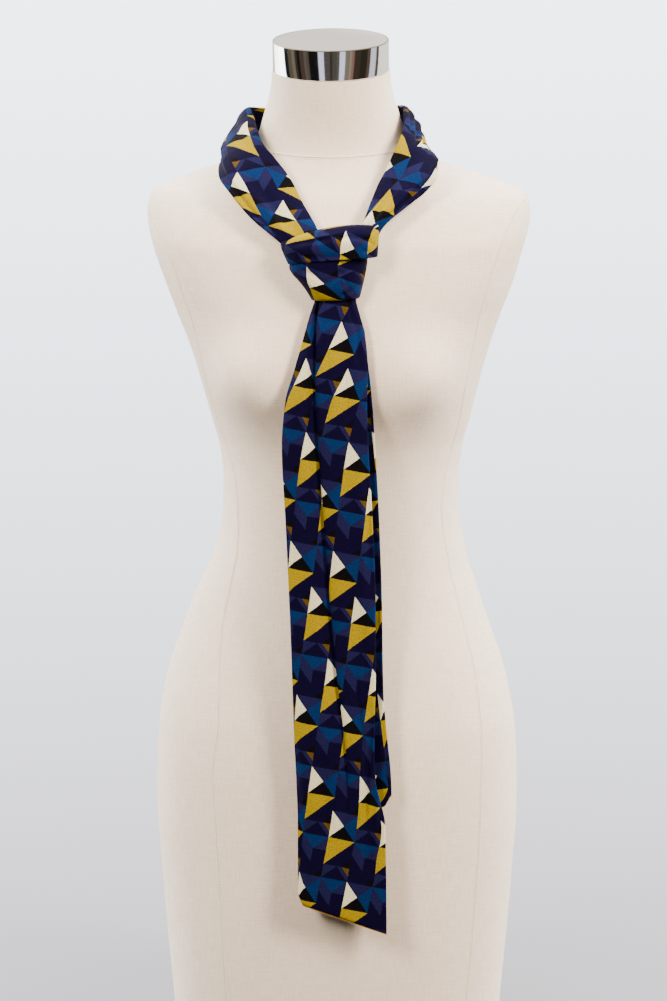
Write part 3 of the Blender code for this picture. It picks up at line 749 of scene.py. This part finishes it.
class Value:
    """A value in a node tree. A sum written with it adds the nodes that work it out."""

    def __init__(self, nodes, socket):
        self.nodes = nodes
        self.socket = socket

    def __add__(self, other):
        return self.nodes.math("ADD", self, other)

    def __sub__(self, other):
        return self.nodes.math("SUBTRACT", self, other)

    def __mul__(self, other):
        return self.nodes.math("MULTIPLY", self, other)

    def __truediv__(self, other):
        return self.nodes.math("DIVIDE", self, other)

    def __mod__(self, other):
        return self.nodes.math("FLOORED_MODULO", self, other)

    def __gt__(self, other):
        return self.nodes.math("GREATER_THAN", self, other)

    def __lt__(self, other):
        return self.nodes.math("LESS_THAN", self, other)

    def __abs__(self):
        return self.nodes.math("ABSOLUTE", self)


class Nodes:
    """Adds nodes to one tree and joins them, so that a finish reads as a list of steps."""

    def __init__(self, tree):
        self.tree = tree

    def add(self, kind, **settings):
        node = self.tree.nodes.new(kind)
        for key, value in settings.items():
            setattr(node, key, value)
        return node

    def join(self, value, socket):
        if isinstance(value, Value):
            value = value.socket
        if isinstance(value, bpy.types.NodeSocket):
            self.tree.links.new(value, socket)
        else:
            socket.default_value = value

    def made(self, node, given, output=0):
        """One output of a node, once its inputs are joined to what is given for them."""
        for socket, value in given.items():
            self.join(value, node.inputs[socket])
        return Value(self, node.outputs[output])

    def math(self, operation, first, second=0.0, third=0.0):
        node = self.add("ShaderNodeMath", operation=operation)
        return self.made(node, {0: first, 1: second, 2: third})

    def scaled(self, value, factor, offset):
        return self.math("MULTIPLY_ADD", value, factor, offset)

    def mix(self, share, first, second, blend="MIX"):
        node = self.add("ShaderNodeMix", data_type="RGBA", blend_type=blend)
        return self.made(node, {0: share, 6: first, 7: second}, 2)

    def noise(self, vector, scale, detail=2.0):
        node = self.add("ShaderNodeTexNoise")
        return self.made(node, {"Vector": vector, "Scale": scale, "Detail": detail})

    def streaks(self, vector, scale, detail=2.0):
        """Noise drawn out by a different scale along each axis."""
        node = self.add("ShaderNodeMapping")
        return self.noise(self.made(node, {"Vector": vector, "Scale": scale}), 1.0, detail)

    def parts(self, vector):
        node = self.add("ShaderNodeSeparateXYZ")
        self.join(vector, node.inputs[0])
        return [Value(self, output) for output in node.outputs]

    def chart(self):
        """The piece's own chart in metres: the vector, and its two parts."""
        vector = self.add("ShaderNodeUVMap", uv_map="cloth").outputs[0]
        u, v, _ = self.parts(vector)
        return vector, u, v

    def bump(self, height, strength, distance, below=None):
        given = {"Strength": strength, "Distance": distance, "Height": height}
        if below is not None:
            given["Normal"] = below
        return self.made(self.add("ShaderNodeBump"), given)


def solid(colour):
    return (*colour, 1.0)


def new_finish(name, roughness, metallic=0.0):
    material = bpy.data.materials.new(name)
    material.use_nodes = True
    shader = material.node_tree.nodes["Principled BSDF"]
    shader.inputs["Roughness"].default_value = roughness
    shader.inputs["Metallic"].default_value = metallic
    return material, Nodes(material.node_tree), shader


def patchwork_print(nodes, settings, vector, u, v):
    """Square blocks of half and quarter triangles, four kinds in turn, each column dropped half a block."""
    names = ("navy", "black", "indigo", "blue", "yellow", "cream", "ochre")
    navy, black, indigo, blue, yellow, cream, ochre = (solid(getattr(settings, name)) for name in names)
    block = settings.print_block
    stray = nodes.scaled(nodes.noise(vector, WOBBLE_SCALE), WOBBLE, -WOBBLE / 2)
    # The column and row of the block, and the place in it from -0.5 to 0.5.
    across = (u + stray) / block
    column_number = nodes.math("FLOOR", across)
    p = across - column_number - 0.5
    down = nodes.scaled(column_number % 2.0, 0.5, (v - stray) / block)
    row_number = nodes.math("FLOOR", down)
    q = down - row_number - 0.5
    kind = nodes.scaled(column_number, 2.0, row_number) % 4.0
    rising = q > p
    falling = q + p > 0.0
    low_corner = q - p < LOW_CORNER
    # The four kinds of block.
    halves = nodes.mix(rising, nodes.mix(low_corner, navy, black), yellow)
    quarters = nodes.mix(rising, nodes.mix(falling, black, blue), nodes.mix(falling, cream, indigo))
    slate = nodes.mix(rising, nodes.mix(falling, navy, black), nodes.mix(falling, navy, indigo))
    slate = nodes.mix(p > 0.0, slate, navy)
    slate = nodes.mix(low_corner, slate, black)
    diamond = nodes.mix(abs(p) + abs(q) < 0.5, indigo, nodes.mix(q > 0.0, blue, navy))
    diamond = nodes.mix(q + p > HIGH_CORNER, diamond, ochre)
    first_pair = nodes.mix(kind > 0.5, halves, quarters)
    second_pair = nodes.mix(kind > 2.5, slate, diamond)
    return nodes.mix(kind > 1.5, first_pair, second_pair)


def scarf_finish(settings):
    material, nodes, shader = new_finish("scarf_print", 0.62)
    vector, u, v = nodes.chart()
    colour = patchwork_print(nodes, settings, vector, u, v)
    shade = nodes.scaled(nodes.noise(vector, MOTTLE_SCALE, 4.0), *MOTTLE)
    grey = nodes.add("ShaderNodeCombineColor")
    grey = nodes.made(grey, {channel: shade for channel in range(3)})
    nodes.join(nodes.mix(1.0, colour, grey, "MULTIPLY"), shader.inputs["Base Color"])
    twill = nodes.math("SINE", (u + v * TWILL_SLANT) / settings.weave * (2 * np.pi))
    cockle = nodes.noise(vector, COCKLE_SCALE, 3.0)
    nodes.join(nodes.scaled(cockle, *CLOTH_ROUGHNESS), shader.inputs["Roughness"])
    soft = nodes.bump(cockle, 0.35, COCKLE_DEPTH)
    nodes.join(nodes.bump(twill, 0.30, FINE_RELIEF, soft), shader.inputs["Normal"])
    shader.inputs["Specular IOR Level"].default_value = 0.03
    return material


def linen_finish(settings):
    material, nodes, shader = new_finish("linen_cover", 0.88)
    vector, u, v = nodes.chart()
    slub = nodes.streaks(vector, SLUB_SCALE, 3.0)
    upright = nodes.streaks(vector, UPRIGHT_SCALE)
    yarn = nodes.made(nodes.add("ShaderNodeClamp"), {0: nodes.scaled(slub + upright, *YARN)})
    cloud = nodes.noise(vector, CLOUD_SCALE, 3.0)
    base = nodes.mix(yarn, solid(settings.linen), solid(settings.slub))
    base = nodes.mix(cloud * CLOUD_STRENGTH, base, solid(settings.slub))
    cells = nodes.add("ShaderNodeTexVoronoi", voronoi_dimensions="2D")
    near = nodes.made(cells, {"Vector": vector, "Scale": FLECK_CELLS}, "Distance") < FLECK_RADIUS
    chosen = nodes.made(nodes.add("ShaderNodeSeparateColor"), {0: cells.outputs["Color"]}) > FLECK_RARE
    base = nodes.mix(chosen * near * FLECK_STRENGTH, base, solid(settings.fleck))
    nodes.join(base, shader.inputs["Base Color"])
    weft, warp = (nodes.math("SINE", way * (2 * np.pi / COVER_WEAVE)) for way in (v, u))
    weave = nodes.bump(weft * warp, 0.25, FINE_RELIEF)
    nodes.join(nodes.bump(slub, 0.35, SLUB_RELIEF, weave), shader.inputs["Normal"])
    shader.inputs["Sheen Weight"].default_value = 0.08
    shader.inputs["Specular IOR Level"].default_value = 0.25
    return material


def plain_thread(name, colour):
    """Thread: a soft yarn with a fine twist."""
    material, nodes, shader = new_finish(name, 0.75)
    place = nodes.add("ShaderNodeTexCoord").outputs["Object"]
    twist = nodes.noise(place, TWIST_SCALE)
    darker = tuple(channel * TWIST_SHADE for channel in colour)
    nodes.join(nodes.mix(twist, solid(darker), solid(colour)), shader.inputs["Base Color"])
    return material


def polished_steel(settings):
    material, nodes, shader = new_finish("polished_steel", 0.07, 1.0)
    place = nodes.add("ShaderNodeTexCoord").outputs["Object"]
    shader.inputs["Base Color"].default_value = solid(settings.steel)
    streak = nodes.streaks(place, POLISH_STREAK)
    nodes.join(nodes.scaled(streak, *POLISH_ROUGHNESS), shader.inputs["Roughness"])
    return material


def turned_rim(settings):
    material, _, shader = new_finish("turned_rim", 0.45, 1.0)
    shader.inputs["Base Color"].default_value = solid(settings.rim)
    return material


def satin_steel(settings):
    material, nodes, shader = new_finish("satin_steel", 0.42, 1.0)
    place = nodes.add("ShaderNodeTexCoord").outputs["Object"]
    shader.inputs["Base Color"].default_value = solid(settings.satin)
    brush = nodes.streaks(place, BRUSH_STREAK, 3.0)
    nodes.join(nodes.scaled(brush, *BRUSH_ROUGHNESS), shader.inputs["Roughness"])
    nodes.join(nodes.bump(brush, 0.10, BRUSH_RELIEF), shader.inputs["Normal"])
    return material


# Stitches

def stitch_tree():
    """A node tree that lays stitches along the edges of a mesh, evenly but for a little slack."""
    tree = bpy.data.node_groups.new("stitch_row", "GeometryNodeTree")
    tree.interface.new_socket("Geometry", in_out="INPUT", socket_type="NodeSocketGeometry")
    for name in ("Pitch", "Length", "Thread", "Slack"):
        tree.interface.new_socket(name, in_out="INPUT", socket_type="NodeSocketFloat")
    tree.interface.new_socket("Finish", in_out="INPUT", socket_type="NodeSocketMaterial")
    tree.interface.new_socket("Geometry", in_out="OUTPUT", socket_type="NodeSocketGeometry")
    nodes = Nodes(tree)
    given = nodes.add("NodeGroupInput").outputs
    path = nodes.made(nodes.add("GeometryNodeMeshToCurve"), {"Mesh": given["Geometry"]})
    even = nodes.add("GeometryNodeResampleCurve", mode="LENGTH")
    even = nodes.made(even, {"Curve": path, "Length": given["Pitch"]})
    stitch = nodes.made(nodes.add("GeometryNodeMeshUVSphere"), {"Segments": 6, "Rings": 5, "Radius": 0.5})
    tangent = nodes.add("GeometryNodeInputTangent").outputs[0]
    turn = nodes.made(nodes.add("FunctionNodeAlignRotationToVector", axis="Z"), {"Vector": tangent})
    spare = nodes.add("FunctionNodeRandomValue", data_type="FLOAT")
    least = nodes.math("SUBTRACT", 1.0, given["Slack"])
    shorter = nodes.made(spare, {2: least, 3: 1.0, "Seed": STITCH_SEED}, 1)
    long = nodes.math("MULTIPLY", given["Length"], shorter)
    size = nodes.made(nodes.add("ShaderNodeCombineXYZ"), {0: given["Thread"], 1: given["Thread"], 2: long})
    place = nodes.add("GeometryNodeInstanceOnPoints")
    placed = nodes.made(place, {"Points": even, "Instance": stitch, "Rotation": turn, "Scale": size})
    real = nodes.made(nodes.add("GeometryNodeRealizeInstances"), {0: placed})
    finish = nodes.add("GeometryNodeSetMaterial")
    finished = nodes.made(finish, {"Geometry": real, "Material": given["Finish"]})
    nodes.join(finished, nodes.add("NodeGroupOutput").inputs[0])
    return tree


def stitch_rows(name, paths, pitch, length, thread, slack, material):
    """Plain mesh of stitches along the given runs of points."""
    points = np.concatenate(paths)
    edges = []
    start = 0
    for path in paths:
        edges += [(start + place, start + place + 1) for place in range(len(path) - 1)]
        start += len(path)
    guide = bpy.data.meshes.new(name)
    guide.from_pydata(points.tolist(), edges, [])
    piece = bpy.data.objects.new(name, guide)
    bpy.context.scene.collection.objects.link(piece)
    tree = bpy.data.node_groups.get("stitch_row") or stitch_tree()
    rows = piece.modifiers.new("stitches", "NODES")
    rows.node_group = tree
    sockets = {item.name: item.identifier for item in tree.interface.items_tree if item.in_out == "INPUT"}
    given = {"Pitch": pitch, "Length": length, "Thread": thread, "Slack": slack, "Finish": material}
    for socket, value in given.items():
        rows[sockets[socket]] = value
    graph = bpy.context.evaluated_depsgraph_get()
    made = bpy.data.meshes.new_from_object(piece.evaluated_get(graph))
    piece.modifiers.clear()
    piece.data = made
    made.name = name
    made.shade_smooth()
    if not made.polygons:
        raise RuntimeError(f"{name} came out with no stitches")
    return piece


# Seams of the form's cover

def seam_runs():
    """The cover's seams as runs of angles and levels: four panel seams and the neck seam."""
    top = PANEL_SEAMS["height"][-1] * MM
    levels = np.arange(SEAM_FOOT, top, SEAM_PITCH)
    heights = np.asarray(PANEL_SEAMS["height"]) * MM
    left = np.radians(smooth(heights, PANEL_SEAMS["left"], levels))
    right = np.radians(smooth(heights, PANEL_SEAMS["right"], levels))
    shoulder = levels < PANEL_SEAMS["height"][SHOULDER_ROW] * MM
    runs = [(-left, levels), (right, levels)]
    runs += [((left - np.pi)[shoulder], levels[shoulder]), ((np.pi - right)[shoulder], levels[shoulder])]
    angles = np.linspace(-np.pi, np.pi, NECK_SEAM["points"])
    ahead = np.clip(np.cos(angles), 0.0, None)
    runs.append((angles, NECK_SEAM["side"] - NECK_SEAM["front_drop"] * ahead ** 2))
    return runs


def seam_ribbon(angles, levels):
    """Points of one seam: two soft welts with a ditch between them, lying on the cover."""
    line = form_point(angles, levels)
    _, out = off_form(line)
    ahead = np.gradient(line, axis=0)
    ahead /= np.linalg.norm(ahead, axis=1)[:, None]
    aside = np.cross(out, ahead)
    places = np.asarray(SEAM_SECTION["place"]) * MM
    rise = np.asarray(SEAM_SECTION["rise"]) * MM
    flat = line[:, None] + aside[:, None] * places[None, :, None]
    distance, away = off_form(flat)
    return flat + away * (rise[None, :] - distance)[..., None], line, out


class FORM_OT_cover(bpy.types.Operator):
    """Make the form's drawn-on linen cover"""
    bl_idname = "scarf.form_cover"
    bl_label = "Form cover"

    def execute(self, context):
        finish = linen_finish(context.scene.form_cover)
        top = FORM["height"][-1] * MM
        levels = np.linspace(0.0, top, int(top / FORM_RING_PITCH))
        angles = np.linspace(-np.pi, np.pi, FORM_AROUND + 1)
        angles[-1] = -np.pi
        around, level = np.meshgrid(angles, levels)
        foot = FORM_FOOT_ROUND * (1 - edge_round(level / FORM_FOOT_ROUND))
        points = form_point(around, level, foot)
        rows, columns, _ = points.shape
        run = np.linspace(-1, 1, columns)[None, :] * np.pi * COVER_CHART
        chart = np.stack(np.broadcast_arrays(run, level), axis=-1)
        faces = [list(face) for face in grid_faces(rows, columns)]
        faces.append(list(range(columns - 1))[::-1])
        faces.append([(rows - 1) * columns + place for place in range(columns - 1)])
        cover = mesh_from("form_cover", points.reshape(-1, 3), faces, chart.reshape(-1, 2), [finish])
        cover.data.set_sharp_from_angle(angle=COVER_SHARP)
        hand_over(cover, "form_linen", "form_body")
        return {"FINISHED"}


class FORM_OT_seams(bpy.types.Operator):
    """Make the cover's seams and the stitches in them"""
    bl_idname = "scarf.form_seams"
    bl_label = "Form seams"

    def execute(self, context):
        settings = context.scene.form_cover
        points = []
        faces = []
        lines = []
        start = 0
        for angles, levels in seam_runs():
            ribbon, line, out = seam_ribbon(angles, levels)
            rows, columns, _ = ribbon.shape
            points.append(ribbon.reshape(-1, 3))
            faces.append(grid_faces(rows, columns, start=start))
            lines.append(line + out * SEAM_STITCH_LIFT)
            start += rows * columns
        points = np.concatenate(points)
        finish = linen_finish(settings)
        seams = mesh_from("form_seams", points, np.concatenate(faces), points[:, [0, 2]], [finish])
        # The seam thread's dark colour is partly painted shade, and the neck's thicker thread widens that
        # painted shadow line.
        thread = plain_thread("linen_thread_and_seam_shade", settings.seam_thread_and_shade)
        pitch = settings.stitch_pitch
        length = settings.stitch_length
        stitches = stitch_rows(
            "form_seam_stitches", lines[:-1], pitch, length, settings.thread, SEAM_SLACK, thread)
        collar = stitch_rows(
            "form_neck_stitches", lines[-1:], pitch, length * NECK_STITCH_LONGER,
            settings.thread * NECK_THREAD_THICKER_FOR_SHADE, NECK_SLACK, thread)
        for piece in (seams, stitches, collar):
            hand_over(piece, "form_linen")
        return {"FINISHED"}


class FORM_OT_cap(bpy.types.Operator):
    """Make the polished neck cap with its satin top"""
    bl_idname = "scarf.form_cap"
    bl_label = "Neck cap"

    def execute(self, context):
        settings = context.scene.neck_cap
        tilt = np.arctan(NECK_TILT)
        top = np.array([FORM[key][-1] for key in ("centre_x", "centre_y", "height")]) * MM
        axis = np.array([0.0, -np.sin(tilt), np.cos(tilt)])
        ahead = np.array([0.0, np.cos(tilt), np.sin(tilt)])
        radius = np.asarray(CAP_OUTLINE["radius"]) * MM
        height = np.asarray(CAP_OUTLINE["height"]) * MM + SEAM_GAP
        angles = np.linspace(0, 2 * np.pi, CAP_AROUND + 1)
        angles[-1] = 0.0
        aside = np.cos(angles)[None, :, None] * np.array([1.0, 0.0, 0.0])
        aside = aside + np.sin(angles)[None, :, None] * ahead
        points = top + axis * height[:, None, None] + aside * radius[:, None, None]
        rows, columns, _ = points.shape
        chart = np.stack(np.broadcast_arrays(angles[None, :] * CAP_RADIUS, height[:, None]), axis=-1)
        finishes = [polished_steel(settings), satin_steel(settings), turned_rim(settings)]
        cap = mesh_from(
            "neck_cap", points.reshape(-1, 3), grid_faces(rows, columns), chart.reshape(-1, 2), finishes)
        cap.data.set_sharp_from_angle(angle=CAP_SHARP)
        for face in cap.data.polygons:
            if (np.array(face.center) - top) @ axis > height[CAP_RIM_FROM]:
                face.material_index = 1 if face.normal.dot(Vector(axis)) > CAP_FLAT else 2
        hand_over(cap, "cap_steel", "form_neck_cap")
        return {"FINISHED"}


class SCARF_OT_neck_strip(bpy.types.Operator):
    """Make the strip that goes round the neck"""
    bl_idname = "scarf.neck_strip"
    bl_label = "Neck strip"

    def execute(self, context):
        settings = context.scene.scarf_cloth
        points, places = neck_strip_points(settings.wall)
        across = run_length(points, 1)
        first = across - across[:, -1:] / 2 + NECK_PRINT_SLIDE
        second = np.broadcast_to(places[:, None], first.shape)
        chart = turned_chart(first, second, NECK_PRINT_TURN)
        finish = scarf_finish(settings)
        strip = cloth_shell("scarf_neck_strip", points, chart, finish, settings.wall)
        nodes = ("scarf_neck_left", "scarf_neck_back", "scarf_neck_right")
        finish_cloth(strip, nodes)
        return {"FINISHED"}


class SCARF_OT_knot(bpy.types.Operator):
    """Make the knot's two turns"""
    bl_idname = "scarf.knot"
    bl_label = "Knot"

    def execute(self, context):
        settings = context.scene.scarf_cloth
        finish = bpy.data.materials.get("scarf_print") or scarf_finish(settings)
        turns = (
            ("scarf_knot_band", KNOT_BAND, BAND_CREASES, -1, BAND_PRINT_SLIDE, (0.045, 0.125)),
            ("scarf_knot_face", KNOT_FACE, FACE_CREASES, 0, 0.0, (0.045, 0.100)),
        )
        for name, table, creases, level_row, slide, flat in turns:
            points = knot_points(table, creases)
            down = run_length(points, 0)
            over = run_length(points, 1)
            level = points[level_row, :, 2] + down[level_row] - down
            share = over / over[:, -1:]
            first = over + slide * step(share)
            second = level + slide * step(KNOT_SLIDE_SOONER * share)
            chart = turned_chart(first, second, KNOT_PRINT_TURN)
            turn = cloth_shell(name + "_cloth", points, chart, finish, settings.wall)
            finish_cloth(turn, (name,))
        return {"FINISHED"}


class SCARF_OT_tails(bpy.types.Operator):
    """Make the two hanging tails"""
    bl_idname = "scarf.tails"
    bl_label = "Tails"

    def execute(self, context):
        settings = context.scene.scarf_cloth
        finish = bpy.data.materials.get("scarf_print") or scarf_finish(settings)
        ends = []
        tails = (
            ("scarf_tail_long", TAIL_LONG, TAIL_LONG_END, TAIL_LONG_GRID, TAIL_LONG_CREASES,
             TAIL_LONG_PRINT, (STRIP_WIDTH, 0.640)),
            ("scarf_tail_short", TAIL_SHORT, TAIL_SHORT_END, TAIL_SHORT_GRID, TAIL_SHORT_CREASES,
             TAIL_SHORT_PRINT, (STRIP_WIDTH, 0.545)),
        )
        for name, table, end, grid, creases, print_place, flat in tails:
            points = tail_points(table, end, grid, creases, settings.wall)
            chart = turned_chart(run_length(points, 1), points[..., 2], *print_place)
            tail = cloth_shell(name + "_cloth", points, chart, finish, settings.wall)
            finish_cloth(tail, (name,))
            inward = facing(points)[-1] * settings.wall * END_STITCH_DEPTH
            ends.append(points[-1] - inward - np.array([0.0, 0.0, END_STITCH_DROP]))
        thread = plain_thread("edge_thread", settings.edge_gold)
        stitches = stitch_rows("scarf_end_stitches", ends, **END_STITCH, material=thread)
        hand_over(stitches, "scarf_cloth")
        return {"FINISHED"}


# Studio

def add_softbox(name, azimuth, power, colour):
    lamp = bpy.data.lights.new(name, "AREA")
    lamp.shape = "RECTANGLE"
    lamp.size, lamp.size_y = SOFTBOX_SIZE
    lamp.energy = power
    lamp.color = colour
    box = bpy.data.objects.new(name, lamp)
    bpy.context.scene.collection.objects.link(box)
    turn = np.radians(azimuth)
    place = Vector((SOFTBOX_DISTANCE * np.sin(turn), -SOFTBOX_DISTANCE * np.cos(turn), SOFTBOX_HEIGHT))
    box.location = place
    box.rotation_euler = (Vector(LIGHT_AIM) - place).to_track_quat("-Z", "Y").to_euler()
    box.visible_glossy = False


def floor_finish(settings):
    """A dark floor with a painted glow, which makes it pale and a little brighter with its distance from
    the form.
    """
    material, nodes, shader = new_finish("floor_painted_glow", 0.9)
    shader.inputs["Base Color"].default_value = solid(settings.floor)
    place = nodes.add("ShaderNodeTexCoord").outputs["Object"]
    length = nodes.add("ShaderNodeVectorMath", operation="LENGTH")
    distance = nodes.made(length, {0: place}, "Value")
    away = distance / (distance + HALF_GLOW)
    glow = nodes.mix(away, solid(settings.glow_near), solid(settings.glow_far))
    nodes.join(glow, shader.inputs["Emission Color"])
    shader.inputs["Emission Strength"].default_value = 1.0
    return material


def ramp_of(nodes, value, stops, interpolation):
    """A colour ramp with the given places, from 0 to 1, and colours."""
    ramp = nodes.add("ShaderNodeValToRGB")
    ramp.color_ramp.interpolation = interpolation
    elements = ramp.color_ramp.elements
    while len(elements) < len(stops):
        elements.new(1.0)
    for element, (place, colour) in zip(elements, stops):
        element.position = place
        element.color = (*colour, 1.0)
    nodes.join(value, ramp.inputs[0])
    return ramp.outputs[0]


def studio_surroundings(settings):
    """Soft light from all round, and, for polished metal, the upright bands of a studio."""
    world = bpy.data.worlds.new("studio")
    bpy.context.scene.world = world
    world.use_nodes = True
    nodes = Nodes(world.node_tree)
    background = world.node_tree.nodes["Background"]
    x, y, z = nodes.parts(nodes.add("ShaderNodeTexCoord").outputs["Generated"])
    turn = nodes.math("ARCTAN2", x, y * -1.0) - np.radians(CAMERA_AZIMUTH)
    share = nodes.math("FRACT", nodes.scaled(turn, 1 / (2 * np.pi), 0.5))
    bands = [((degrees + 180) / 360, colour) for degrees, colour in METAL_BANDS]
    metal = ramp_of(nodes, share, bands, "CONSTANT")
    aside = abs(share - 0.5) * 2.0
    tint = np.array(ROOM_TINT) * settings.room_light
    soft = [(degrees / 180, tint * light) for degrees, light in ROOM_LIGHT]
    room = ramp_of(nodes, aside, soft, "EASE")
    above = nodes.scaled(z, HIGH_LIGHT, LEVEL_LIGHT) * (z > 0.0)
    above = nodes.math("MAXIMUM", above, UNDER_FLOOR)
    rays = nodes.add("ShaderNodeLightPath").outputs
    light = nodes.add("ShaderNodeVectorMath", operation="SCALE")
    light = nodes.made(light, {"Vector": room, "Scale": above})
    light = nodes.mix(rays["Is Glossy Ray"], light, metal)
    light = nodes.mix(rays["Is Camera Ray"], light, solid(settings.glow_far))
    nodes.join(light, background.inputs["Color"])


class STUDIO_OT_stage(bpy.types.Operator):
    """Make the pale floor, the soft lights and the camera"""
    bl_idname = "scarf.stage"
    bl_label = "Studio"

    def execute(self, context):
        settings = context.scene.studio_settings
        bpy.ops.mesh.primitive_circle_add(vertices=96, radius=FLOOR_RADIUS, fill_type="NGON")
        floor = context.object
        floor.name = "floor"
        floor.data.materials.append(floor_finish(settings))
        floor.visible_glossy = False
        floor.visible_diffuse = False
        for name, azimuth, share in SOFTBOXES:
            add_softbox(name, azimuth, settings.key_power * share, settings.key_colour)
        studio_surroundings(settings)
        camera = bpy.data.objects.new("camera", bpy.data.cameras.new("camera"))
        context.scene.collection.objects.link(camera)
        camera.data.sensor_width = SENSOR
        camera.data.lens = SENSOR * FOCAL_PIXELS / PHOTO_SIZE[1]
        camera.data.clip_end = 2 * FLOOR_RADIUS
        azimuth = np.radians(CAMERA_AZIMUTH)
        elevation = np.radians(CAMERA_ELEVATION)
        level = np.cos(elevation)
        back = Vector((np.sin(azimuth) * level, -np.cos(azimuth) * level, np.sin(elevation)))
        camera.location = Vector(CAMERA_TARGET) + back * CAMERA_DISTANCE
        camera.rotation_euler = (-back).to_track_quat("-Z", "Y").to_euler()
        context.scene.camera = camera
        return {"FINISHED"}


MAKERS = (FORM_OT_cover, FORM_OT_seams, FORM_OT_cap, SCARF_OT_neck_strip, SCARF_OT_knot, SCARF_OT_tails,
          STUDIO_OT_stage)


class VIEW3D_PT_scarf(bpy.types.Panel):
    """Lists the settings and the makers of each piece"""
    bl_label = "Skinny Scarf"
    bl_space_type = "VIEW_3D"
    bl_region_type = "UI"
    bl_category = "Scarf"

    def draw(self, context):
        for group in (context.scene.scarf_cloth, context.scene.form_cover, context.scene.neck_cap,
                      context.scene.studio_settings):
            box = self.layout.box()
            for name in group.__annotations__:
                box.prop(group, name)
        for maker in MAKERS:
            self.layout.operator(maker.bl_idname)


GROUPS = {
    "scarf_cloth": ScarfCloth,
    "form_cover": FormCover,
    "neck_cap": NeckCap,
    "studio_settings": StudioSettings,
}


def register():
    for item in (*GROUPS.values(), *MAKERS, VIEW3D_PT_scarf):
        bpy.utils.register_class(item)
    for name, group in GROUPS.items():
        setattr(bpy.types.Scene, name, bpy.props.PointerProperty(type=group))


def unregister():
    for name in GROUPS:
        delattr(bpy.types.Scene, name)
    for item in (VIEW3D_PT_scarf, *MAKERS[::-1], *GROUPS.values()):
        bpy.utils.unregister_class(item)


def main():
    register()
    bpy.ops.scarf.form_cover()
    bpy.ops.scarf.form_seams()
    bpy.ops.scarf.form_cap()
    bpy.ops.scarf.neck_strip()
    bpy.ops.scarf.knot()
    bpy.ops.scarf.tails()
    bpy.ops.scarf.stage()


if __name__ == "__main__":
    main()
